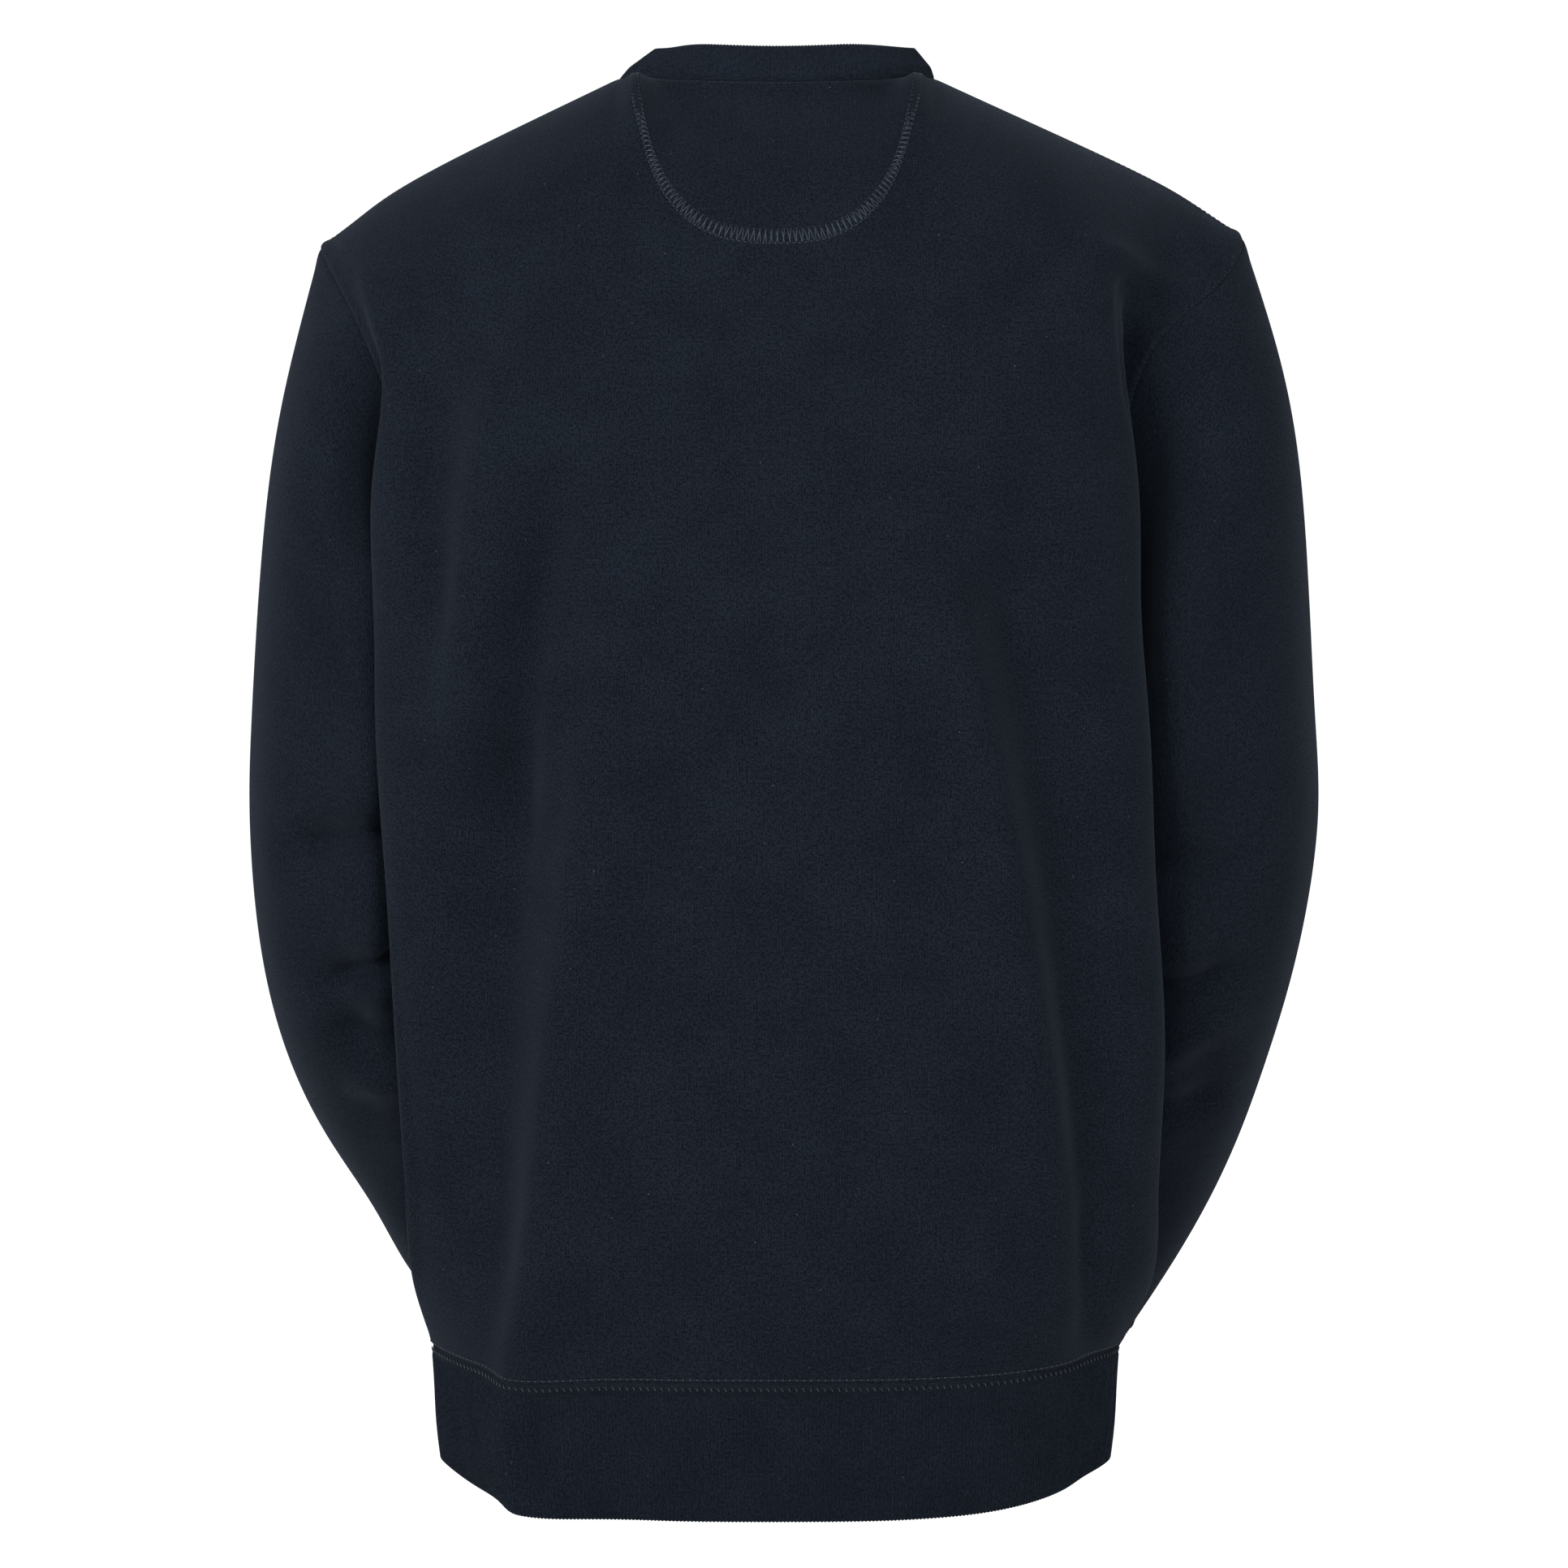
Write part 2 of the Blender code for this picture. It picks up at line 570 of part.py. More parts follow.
def relief(points, normals, folds, toward):
    """All folds of a list, on the cloth that faces `toward` (+1 back, -1 front)."""
    facing = smooth(0.05, 0.45, normals[..., 1] * toward)
    return facing * sum(path_relief(points, fold) for fold in folds)


def grid_faces(rows, columns, closed):
    """Quads of a grid, as four vertex numbers each."""
    quads = []
    for r in range(rows - 1):
        low, high = r * columns, (r + 1) * columns
        for c in range(columns if closed else columns - 1):
            after = (c + 1) % columns
            quads.append((low + c, low + after, high + after, high + c))
    return quads


def split_quads(quads, points):
    """Each quad as two triangles along its shorter diagonal, so both skins of a wall bend the same way."""
    found = []
    for a, b, c, d in quads:
        if np.linalg.norm(points[a] - points[c]) <= np.linalg.norm(points[b] - points[d]):
            found += [(a, b, c), (a, c, d)]
        else:
            found += [(a, b, d), (b, c, d)]
    return found


def own_normals(points, closed):
    """Vertex normals of a grid, summed over its quads."""
    rows, columns = points.shape[:2]
    quads = np.array(grid_faces(rows, columns, closed))
    flat = points.reshape(-1, 3)
    cross = np.cross(flat[quads[:, 2]] - flat[quads[:, 0]], flat[quads[:, 3]] - flat[quads[:, 1]])
    sums = np.zeros_like(flat)
    for corner in range(4):
        np.add.at(sums, quads[:, corner], cross)
    return sums


def shared_normals(pieces):
    """Each piece's normals, outwards, added up where pieces share a point of a seam."""
    sums = {}
    parts = {}
    for name, piece in pieces.items():
        own = own_normals(piece["points"], piece["closed"]) * piece["turn"]
        parts[name] = own / np.linalg.norm(own, axis=1)[:, None]
        for point, normal in zip(piece["points"].reshape(-1, 3), parts[name]):
            key = tuple(np.round(point * 1e6).astype(int))
            sums[key] = sums.get(key, 0) + normal
    for name, piece in pieces.items():
        flat = piece["points"].reshape(-1, 3)
        found = np.array([sums[tuple(np.round(p * 1e6).astype(int))] for p in flat])
        found /= np.linalg.norm(found, axis=1)[:, None]
        piece["normals"] = found.reshape(piece["points"].shape)
        piece["own"] = parts[name].reshape(piece["points"].shape)


# A grid's edges, and the lines of points next to them
EDGES = {
    "first_row": (np.s_[0, :], np.s_[1, :]),
    "last_row": (np.s_[-1, :], np.s_[-2, :]),
    "first_column": (np.s_[:, 0], np.s_[:, 1]),
    "last_column": (np.s_[:, -1], np.s_[:, -2]),
}


def sewn_edges(piece):
    """The piece's points and normals with its sewn edges drawn in: mitred where the cloth runs on into its
    neighbour, and cut square and further back where the two meet in a sharp fold."""
    points = piece["points"].copy()
    normals = piece["normals"].copy()
    for edge in piece["seams"]:
        rim, near = EDGES[edge]
        line = piece["points"][rim]
        if piece["closed"]:
            along = np.roll(line, -1, axis=0) - np.roll(line, 1, axis=0)
        else:
            along = np.gradient(line, axis=0)
        along /= np.linalg.norm(along, axis=1)[:, None]
        own, shared = piece["own"][rim], piece["normals"][rim]
        inward = piece["points"][near] - line
        for axis in (along, own):
            inward -= axis * (inward * axis).sum(axis=1)[:, None]
        inward /= np.linalg.norm(inward, axis=1)[:, None]
        open_share = (own * shared).sum(axis=1)
        mitred = smooth(0.60, 0.80, open_share)
        across = np.sqrt(np.clip(1 - open_share**2, 0, 1))
        square = (SEAM_GAP / 2 + SEAM_THICKNESS / 2 * across) / np.clip(open_share, 0.25, 1)
        points[rim] += inward * mix(square, SEAM_GAP / 2, mitred)[:, None]
        normals[rim] = mix(own, shared, mitred[:, None])
        normals[rim] /= np.linalg.norm(normals[rim], axis=1)[:, None]
    return points, normals


def half_thickness(piece):
    """Half the cloth's thickness at each point, thinner where a seam presses it."""
    half = np.full(piece["points"].shape[:2], piece["thickness"] / 2)
    for edge in piece["seams"]:
        half[EDGES[edge][0]] = SEAM_THICKNESS / 2
    return half


def wall(name, points, normals, half, closed, turn, material):
    """A closed wall of cloth: the grid's outer and inner skins, joined round its edges."""
    rows, columns = points.shape[:2]
    count = rows * columns
    outer = (points + normals * half[..., None]).reshape(-1, 3)
    inner = (points - normals * half[..., None]).reshape(-1, 3)
    faces = split_quads(grid_faces(rows, columns, closed), points.reshape(-1, 3))
    rim = [[c for c in range(columns)], [(rows - 1) * columns + c for c in range(columns)][::-1]]
    if closed:
        rims = [line + line[:1] for line in rim]
    else:
        right = [r * columns + columns - 1 for r in range(1, rows)]
        left = [r * columns for r in range(rows - 2, -1, -1)]
        rims = [rim[0] + right + rim[1][1:] + left]
    built = bmesh.new()
    verts = [built.verts.new(p) for p in np.concatenate([outer, inner])]
    step = 1 if turn > 0 else -1
    for face in faces:
        built.faces.new([verts[i] for i in face][::step])
        built.faces.new([verts[count + i] for i in face[::-1]][::step])
    for line in rims:
        for a, b in zip(line, line[1:]):
            built.faces.new([verts[i] for i in (b, a, count + a, count + b)][::step])
    mesh = bpy.data.meshes.new(name)
    built.to_mesh(mesh)
    built.free()
    mesh.shade_smooth()
    mesh.materials.append(material)
    piece = bpy.data.objects.new(name, mesh)
    collection.objects.link(piece)
    return piece


def cloth_material(name, colour, roughness):
    material = bpy.data.materials.new(name)
    material.use_nodes = True
    shader = material.node_tree.nodes["Principled BSDF"]
    shader.inputs["Base Color"].default_value = (*colour, 1)
    shader.inputs["Roughness"].default_value = roughness
    shader.inputs["Metallic"].default_value = 0
    return material


def facing_grid(panel_columns, back):
    """The half-moon's points and normals on the back panel: rows from its edge up to the neck seam."""
    shares = np.sin(np.linspace(1, -1, MOON_COLUMNS) * MOON_BUNCHING) / np.sin(MOON_BUNCHING) * MOON_END
    line = back["points"][-1, :, 0]
    order = np.argsort(line)
    points = np.zeros((MOON_ROWS, MOON_COLUMNS, 3))
    normals = np.zeros_like(points)
    for c, share in enumerate(shares):
        deep = MOON_DEEP * (1 - abs(share) ** MOON_SQUARENESS) ** (1 / MOON_SQUARENESS)
        column = np.interp(share * MOON_HALF, line[order], panel_columns[order])
        after = int(np.clip(np.searchsorted(panel_columns, column), 1, len(panel_columns) - 1))
        start, stop = panel_columns[after - 1 : after + 1]
        t = (column - start) / (stop - start)
        path = mix(back["points"][:, after - 1], back["points"][:, after], t)[::-1]
        outward = mix(back["own"][:, after - 1], back["own"][:, after], t)[::-1]
        length = np.concatenate([[0], np.cumsum(np.linalg.norm(np.diff(path, axis=0), axis=1))])
        at = np.linspace(deep, MOON_TOP, MOON_ROWS)
        for axis in range(3):
            points[:, c, axis] = np.interp(at, length, path[:, axis])
            normals[:, c, axis] = np.interp(at, length, outward[:, axis])
    normals /= np.linalg.norm(normals, axis=-1)[..., None]
    return points, normals


for old in list(bpy.data.objects):
    bpy.data.objects.remove(old, do_unlink=True)
collection = bpy.data.collections.new("crewneck_sweatshirt")
bpy.context.scene.collection.children.link(collection)

columns = places(COLUMN_GAPS + COLUMN_GAPS[::-1], COLUMN_STEPS + COLUMN_STEPS[::-1])
row_places = places(ROW_GAPS, ROW_STEPS)
faces = panels(columns, row_places)

# Each piece's grid, whether it closes on itself, which way its quads turn, and the edges that are sewn
pieces = {
    "back_panel": {
        "points": faces["back"],
        "closed": False,
        "turn": 1,
        "thickness": FLEECE,
        "seams": ("first_row", "last_row", "first_column", "last_column"),
    },
    "front_panel": {
        "points": faces["front"],
        "closed": False,
        "turn": -1,
        "thickness": FLEECE,
        "seams": ("first_row", "last_row", "first_column", "last_column"),
    },
    "hem_band": {
        "points": hem_surface(faces),
        "closed": True,
        "turn": -1,
        "thickness": RIB,
        "seams": ("first_row",),
    },
    "neck_band": {
        "points": neck_surface(faces, columns),
        "closed": True,
        "turn": 1,
        "thickness": RIB,
        "seams": ("first_row",),
    },
}
for side, sign in SIDES.items():
    sleeve, cuff = sleeve_surfaces(side)
    pieces["sleeve_" + side] = {
        "points": sleeve,
        "closed": True,
        "turn": -sign,
        "thickness": FLEECE,
        "seams": ("first_row", "last_row"),
    }
    pieces["cuff_" + side] = {
        "points": cuff,
        "closed": True,
        "turn": -sign,
        "thickness": RIB,
        "seams": ("first_row",),
    }

shared_normals(pieces)

# Folds fade out towards the armholes, shoulders and collar, and towards the cuffs
panel_rows, panel_columns = faces["back"].shape[:2]
from_side = np.minimum(np.arange(panel_columns), np.arange(panel_columns)[::-1])
from_top = np.arange(panel_rows)[::-1]
armhole_calm = smooth(0, 5, from_side)[None, :]
above_armpit = smooth(8, 13, np.arange(panel_rows))[:, None]
panel_calm = (1 - above_armpit * (1 - armhole_calm)) * smooth(0, 3, from_top)[:, None]
for name, piece in pieces.items():
    points, normals = piece["points"], piece["normals"]
    rows = np.arange(len(points))
    if name in ("back_panel", "front_panel", "hem_band"):
        amount = relief(points, normals, BACK_FOLDS, 1) + relief(points, normals, FRONT_FOLDS, -1)
        calm = 1 if name == "hem_band" else panel_calm
    elif name.startswith("sleeve"):
        amount = relief(points, normals, SLEEVE_FOLDS, 1)
        calm = (smooth(0, 4, rows) * smooth(0, 3, rows[::-1]))[:, None]
    else:
        continue
    piece["points"] = points + normals * (amount * calm)[..., None]
shared_normals(pieces)

colours = {
    "hem_band": (0.0110, 0.0152, 0.0225),
    "neck_band": (0.0110, 0.0152, 0.0225),
    "neck_facing": (0.0105, 0.0145, 0.0215),
}
fleece_colour = (0.0116, 0.0160, 0.0232)
for name, piece in pieces.items():
    material = cloth_material(name + "_cloth", colours.get(name, fleece_colour), 0.9)
    points, normals = sewn_edges(piece)
    wall(
        name,
        points,
        normals,
        half_thickness(piece),
        piece["closed"],
        piece["turn"],
        material,
    )

moon, moon_normals = facing_grid(columns, pieces["back_panel"])
wall(
    "neck_facing",
    moon - moon_normals * MOON_SINK,
    moon_normals,
    np.full(moon.shape[:2], FACING / 2),
    False,
    1,
    cloth_material("neck_facing_cloth", colours["neck_facing"], 0.9),
)
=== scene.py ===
"""Crewneck sweatshirt of brushed fleece, hollow and filled out as when it is worn.

Metres, +Z up, the wearer facing -Y. Each section is one sewn piece, or a group of like pieces: the
cloth, the ribs, the stitches, and last the studio.
"""

import bpy
import numpy as np
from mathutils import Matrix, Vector


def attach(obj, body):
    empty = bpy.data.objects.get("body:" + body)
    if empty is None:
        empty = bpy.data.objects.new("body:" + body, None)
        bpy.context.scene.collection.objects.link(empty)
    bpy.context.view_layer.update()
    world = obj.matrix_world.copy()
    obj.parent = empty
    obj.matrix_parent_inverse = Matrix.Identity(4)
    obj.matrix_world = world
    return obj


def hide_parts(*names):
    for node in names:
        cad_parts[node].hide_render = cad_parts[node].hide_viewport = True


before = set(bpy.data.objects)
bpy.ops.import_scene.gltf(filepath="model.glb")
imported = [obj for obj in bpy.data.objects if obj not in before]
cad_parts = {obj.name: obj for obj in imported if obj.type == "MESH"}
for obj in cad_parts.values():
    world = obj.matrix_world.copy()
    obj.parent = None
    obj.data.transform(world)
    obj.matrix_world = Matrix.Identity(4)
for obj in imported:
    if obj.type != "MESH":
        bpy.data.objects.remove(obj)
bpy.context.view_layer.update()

# ----------------------------------------------------------------------
# Back panel: one piece of brushed fleece, cut from the hem seam up to the shoulders, 1.7 mm thick.
# Sewn to the front at the side and shoulder seams, to the sleeves round the armholes, and to the
# collar and the hem band. It hangs from the shoulders in long soft folds.
FLEECE = 0.0017
SEAM_THICKNESS = 0.0013
SEAM_GAP = 0.00034
SIDES = {"left": 1.0, "right": -1.0}


def table(columns, *rows):
    """A list of rows whose values are read by their columns' names."""
    names = columns.split()
    return [dict(zip(names, row)) for row in rows]


def running(steps):
    """Where each step ends, beginning at 0."""
    return np.concatenate([[0], np.cumsum(steps)])


def unit(vectors):
    """Vectors of length 1 in the same directions."""
    return vectors / np.linalg.norm(vectors, axis=-1, keepdims=True)


# Level sections of the body from the hem seam to the armpit: how far out the back's edge, the side
# seam and the front's edge lie, how far back and forward they are, and how much lower the middle
# hangs than the sides
BODY = table(
    "level left right edge_y side_left side_right side_y back front front_half front_edge_y droop",
    (-0.650, 0.1748, 0.1736, 0.032, 0.1690, 0.1695, -0.005, 0.1230, 0.124, 0.158, -0.045, 0.010),
    (-0.620, 0.1835, 0.1890, 0.042, 0.1690, 0.1730, -0.010, 0.1280, 0.131, 0.158, -0.056, 0.008),
    (-0.578, 0.1865, 0.1920, 0.055, 0.1640, 0.1680, -0.012, 0.1310, 0.136, 0.152, -0.066, 0.005),
    (-0.500, 0.1900, 0.1940, 0.065, 0.1590, 0.1620, -0.012, 0.1310, 0.140, 0.151, -0.073, 0.002),
    (-0.410, 0.1945, 0.1890, 0.072, 0.1570, 0.1580, -0.010, 0.1370, 0.144, 0.154, -0.078, 0.000),
    (-0.335, 0.1985, 0.1855, 0.076, 0.1570, 0.1540, -0.008, 0.1430, 0.146, 0.157, -0.080, 0.000),
    (-0.275, 0.2005, 0.1820, 0.078, 0.1710, 0.1640, -0.005, 0.1460, 0.146, 0.161, -0.080, 0.000),
)

# How flat each half's middle hangs before it rises to the side
DROOP_FLATNESS = {"left": 6, "right": 4}

# A net point's shares of the way from the side seam to the edge, across and back, and the shares of
# the edge's distance out and of the way back for the points from there to the middle
BEFORE_EDGE = (0.27, 0.60)
BEYOND_EDGE = ((0.80, 0.62), (0.43, 0.93), (0.29, 0.975))

# The yoke above the armpit, by height from armpit (0) to shoulder (1): the fold at the panel's
# outer edge, the cloth that turns under it, and the armhole seam
YOKE_COLUMNS = "height edge_x edge_y edge_z under_x under_y seam_x seam_y seam_z"
YOKE = {
    ("back", "left"): table(
        YOKE_COLUMNS,
        (0.32, 0.2013, 0.079, -0.213, -0.013, -0.001, 0.1830, 0.038, -0.218),
        (0.62, 0.1960, 0.088, -0.146, -0.001, -0.001, 0.2020, 0.068, -0.152),
        (0.82, 0.2030, 0.064, -0.101, 0.000, 0.003, 0.2215, 0.046, -0.112),
    ),
    ("back", "right"): table(
        YOKE_COLUMNS,
        (0.32, 0.1805, 0.082, -0.218, -0.010, -0.002, 0.1725, 0.036, -0.214),
        (0.62, 0.1725, 0.087, -0.146, -0.008, -0.010, 0.1900, 0.059, -0.1455),
        (0.82, 0.1755, 0.074, -0.099, -0.008, -0.008, 0.2275, 0.040, -0.1080),
    ),
    ("front", "left"): table(
        YOKE_COLUMNS,
        (0.32, 0.1610, -0.088, -0.212, -0.003, 0.002, 0.1740, -0.046, -0.214),
        (0.62, 0.1620, -0.092, -0.148, 0.002, -0.003, 0.1800, -0.074, -0.150),
        (0.82, 0.1850, -0.064, -0.098, 0.000, -0.003, 0.2080, -0.050, -0.110),
    ),
    ("front", "right"): table(
        YOKE_COLUMNS,
        (0.32, 0.1590, -0.088, -0.212, -0.003, 0.002, 0.1710, -0.046, -0.214),
        (0.62, 0.1620, -0.092, -0.148, 0.002, -0.003, 0.1800, -0.074, -0.150),
        (0.82, 0.1870, -0.064, -0.094, 0.000, -0.003, 0.2110, -0.050, -0.106),
    ),
}

# The shoulder seam from the collar's side out to the sleeve: how far out, and how far down
SLOPE = {
    "left": table("out fall", (0.137, 0.0276), (0.196, 0.0586), (0.217, 0.0740), (0.2345, 0.0872)),
    "right": table("out fall", (0.137, 0.0262), (0.196, 0.0538), (0.217, 0.0664), (0.2385, 0.0812)),
}
SHOULDER_Y = -0.002

# How fully the cloth rolls over the shoulder, from the outer net columns to the middle
ROLL = (2.4, 2.0, 1.65, 1.5)

# The neck seam: half its width, its sides, its middle behind and in front (y and z), and the net
# point between them: how far out, and its shares of the way to the middle in y and z
NECK_HALF = 0.0810
NECK_Y = 0.004
NECK_SIDE_Z = -0.0015
NECK_MIDDLE = {"back": (0.054, -0.0088), "front": (-0.080, -0.086)}
NECK_BETWEEN = 0.0575
NECK_ROUND = {"back": (0.66, 0.60), "front": (0.62, 0.58)}

# The collar: how high it stands and how far it leans in, at the back and at the sides
BAND_HEIGHT = 0.0185
BAND_LEAN = 0.0070
BAND_SIDE_HEIGHT = 0.0166
BAND_SIDE_LEAN = {"left": 0.0190, "right": 0.0105}

# Net columns from one side seam to the other as distances across the panel, and rows from hem seam
# to shoulder. The collar's sides lie four columns in from each end.
COLUMN_GAPS = (0.032, 0.032, 0.054, 0.068, 0.035, 0.057)
ROW_GAPS = (0.030, 0.042, 0.078, 0.090, 0.075, 0.060, 0.060, 0.065, 0.048, 0.057)
ARMPIT_ROW = 6
NECK_COLUMN = 4
COLUMN_KNOTS = running(COLUMN_GAPS + COLUMN_GAPS[::-1])
ROW_KNOTS = running(ROW_GAPS)
LAST_COLUMN = len(COLUMN_KNOTS) - 1
PANEL_WIDTH = COLUMN_KNOTS[-1]
NECK_KNOTS = COLUMN_KNOTS[NECK_COLUMN], COLUMN_KNOTS[LAST_COLUMN - NECK_COLUMN]

# How much each row above the armpit breaks at the collar's sides, instead of running smoothly by
CORNER_SHARES = (0, 0.25, 0.6, 1)


def spline(knots, values, at):
    """A natural cubic through values (first axis) at the knots, read at the places in `at`."""
    knots = np.asarray(knots, float)
    values = np.asarray(values, float)
    flat = values.reshape(len(knots), -1)
    gap = np.diff(knots)
    slope = np.diff(flat, axis=0) / gap[:, None]
    system = np.eye(len(knots))
    right = np.zeros_like(flat)
    for i in range(1, len(knots) - 1):
        system[i, i - 1 : i + 2] = gap[i - 1], 2 * (gap[i - 1] + gap[i]), gap[i]
        right[i] = 6 * (slope[i] - slope[i - 1])
    bend = np.linalg.solve(system, right)
    at = np.asarray(at, float)
    k = np.clip(np.searchsorted(knots, at, side="right") - 1, 0, len(knots) - 2)
    t = (at - knots[k])[:, None]
    h = gap[k][:, None]
    found = (
        flat[k]
        + t * (slope[k] - h * (2 * bend[k] + bend[k + 1]) / 6)
        + t**2 * bend[k] / 2
        + t**3 * (bend[k + 1] - bend[k]) / (6 * h)
    )
    return found.reshape((len(at),) + values.shape[1:])


def ring_spline(knots, length, values, at):
    """The same through a closed ring, whose first point comes again after `length`."""
    long_knots = np.concatenate([np.asarray(knots) + turn * length for turn in (-1, 0, 1)])
    return spline(long_knots, np.concatenate([values] * 3), at)


def smooth(low, high, value):
    """A soft step: 0 at `low` and before it, 1 at `high` and beyond it."""
    t = np.clip((value - low) / (high - low), 0, 1)
    return t * t * (3 - 2 * t)


def mix(a, b, t):
    """The blend of a and b, all a at t = 0 and all b at t = 1."""
    return np.asarray(a) * (1 - t) + np.asarray(b) * t


def closer_at_seams(length, step, finest=0.0009, growth=1.22):
    """Places from 0 to `length`, about `step` apart and closer towards both ends, at the seams."""
    rim = [0.0]
    gap = finest
    while gap < step:
        rim.append(rim[-1] + gap)
        gap *= growth
    middle = length - 2 * rim[-1]
    count = max(2, round(middle / step))
    inside = rim[-1] + middle * np.arange(count + 1) / count
    rim = np.array(rim[:-1])
    return np.concatenate([rim, inside, length - rim[::-1]])


def body_half(row, face, side):
    """Net points of one level section, from the side seam to just before the middle."""
    sign = SIDES[side]
    seam = (row["side_" + side], row["side_y"])
    if face == "back":
        edge = (row[side], row["edge_y"])
        deep = row["back"]
    else:
        edge = (row["front_half"], row["front_edge_y"])
        deep = -row["front"]
    before = tuple(mix(a, b, share) for a, b, share in zip(seam, edge, BEFORE_EDGE))
    beyond = [(out * edge[0], mix(edge[1], deep, back)) for out, back in BEYOND_EDGE]
    points = [seam, before, edge, *beyond]
    flatness = DROOP_FLATNESS[side]
    level = [row["level"] - row["droop"] * (1 - abs(x / edge[0]) ** flatness) for x, _ in points]
    return [(sign * x, y, min(z, row["level"])) for (x, y), z in zip(points, level)]


def fall_of(height, fullness):
    """How far the cloth has rolled over: 0 at the armpit's height and 1 on the shoulder."""
    return 1 - (1 - height**fullness) ** (1 / fullness)


def top_half(face, side):
    """Net points of the shoulder and neck seams, from the sleeve to just before the middle."""
    sign = SIDES[side]
    points = [(sign * row["out"], SHOULDER_Y, -row["fall"]) for row in reversed(SLOPE[side])]
    points.append((sign * NECK_HALF, NECK_Y, NECK_SIDE_Z))
    middle_y, middle_z = NECK_MIDDLE[face]
    share_y, share_z = NECK_ROUND[face]
    points.append((sign * NECK_BETWEEN, mix(NECK_Y, middle_y, share_y), middle_z * share_z))
    return points


def yoke_half(row, side, armpit, top):
    """Net points of one row above the armpit."""
    sign = SIDES[side]
    height = row["height"]
    seam = np.array((sign * row["seam_x"], row["seam_y"], row["seam_z"]))
    edge = np.array((sign * row["edge_x"], row["edge_y"], row["edge_z"]))
    under = mix(edge, seam, 0.5) + (sign * row["under_x"], row["under_y"], 0)
    points = [seam, under, edge]
    for low, high, fullness in zip(armpit[3:], top[3:], ROLL):
        x, _, z = mix(low, high, height)
        y = mix(low[1], high[1], fall_of(height, fullness))
        points.append((x, y, z))
    return points


def whole_row(halves, middle):
    """A panel's net row from left to right."""
    return halves["left"] + [middle] + halves["right"][::-1]


def panel_net(face):
    """Net of a whole panel: rows from the hem seam to the shoulders, columns from left to right."""
    rows = []
    for row in BODY:
        deep = row["back"] if face == "back" else -row["front"]
        halves = {side: body_half(row, face, side) for side in SIDES}
        rows.append(whole_row(halves, (0.0, deep, row["level"] - row["droop"])))
    armpit = {side: body_half(BODY[-1], face, side) for side in SIDES}
    top = {side: top_half(face, side) for side in SIDES}
    _, low_y, low_z = rows[-1][len(COLUMN_GAPS)]
    top_y, top_z = NECK_MIDDLE[face]
    for k, left_row in enumerate(YOKE[face, "left"]):
        height = left_row["height"]
        middle = (0.0, mix(low_y, top_y, fall_of(height, ROLL[-1])), mix(low_z, top_z, height))
        halves = {
            side: yoke_half(YOKE[face, side][k], side, armpit[side], top[side]) for side in SIDES
        }
        rows.append(whole_row(halves, middle))
    rows.append(whole_row(top, (0.0, top_y, top_z)))
    return np.array([[np.asarray(point, float) for point in row] for row in rows])


NETS = {face: panel_net(face) for face in ("back", "front")}
OTHER = {"back": "front", "front": "back"}


def net_row(face, k, columns):
    """One net row of a panel at many columns. The body's rows are rings through both panels."""
    row = NETS[face][k]
    if k <= ARMPIT_ROW:
        ring = np.concatenate([row, NETS[OTHER[face]][k][-2:0:-1]])
        knots = np.concatenate([COLUMN_KNOTS, PANEL_WIDTH + COLUMN_KNOTS[1:-1]])
        return ring_spline(knots, 2 * PANEL_WIDTH, ring, columns)
    whole = spline(COLUMN_KNOTS, row, columns)
    parts = np.zeros_like(whole)
    stops = (0, NECK_COLUMN, LAST_COLUMN - NECK_COLUMN, LAST_COLUMN)
    for a, b in zip(stops, stops[1:]):
        chosen = (columns >= COLUMN_KNOTS[a] - 1e-9) & (columns <= COLUMN_KNOTS[b] + 1e-9)
        parts[chosen] = spline(COLUMN_KNOTS[a : b + 1], row[a : b + 1], columns[chosen])
    return mix(whole, parts, CORNER_SHARES[k - ARMPIT_ROW - 1])


def band_top(point):
    """The collar's upper edge above a point of the neck seam. It leans in most at the sides."""
    inward = unit(np.array((-point[0], -point[1] - 0.010, 0.0)))
    forward = smooth(-0.02, -0.085, point[2])
    side = smooth(0.45, 1.0, abs(point[0]) / NECK_HALF) * smooth(-0.075, -0.02, point[1])
    side_lean = BAND_SIDE_LEAN["left" if point[0] > 0 else "right"]
    lean = mix(BAND_LEAN, side_lean, side) * (1 - 0.35 * forward)
    rise = mix(BAND_HEIGHT, BAND_SIDE_HEIGHT, side)
    return point + inward * lean + np.array((0, 0.25 * forward * BAND_HEIGHT, rise))


def armhole(edge, around):
    """Points round an armhole, from the shoulder (0) down to the armpit (4) and up the front."""
    back = NETS["back"][ARMPIT_ROW:, edge]
    front = NETS["front"][ARMPIT_ROW:, edge]
    return ring_spline(np.arange(8), 8, np.concatenate([back[::-1], front[1:-1]]), around)


# How far from the seams a panel is drawn towards them, and how far from the collar's sides it takes
# up the collar's slant, from an extra row that stands for the collar
SEAM_REACH = 0.024
NECK_REACH = 0.030
SLANT_REACH = 0.045
SLANT_ROW = 0.030


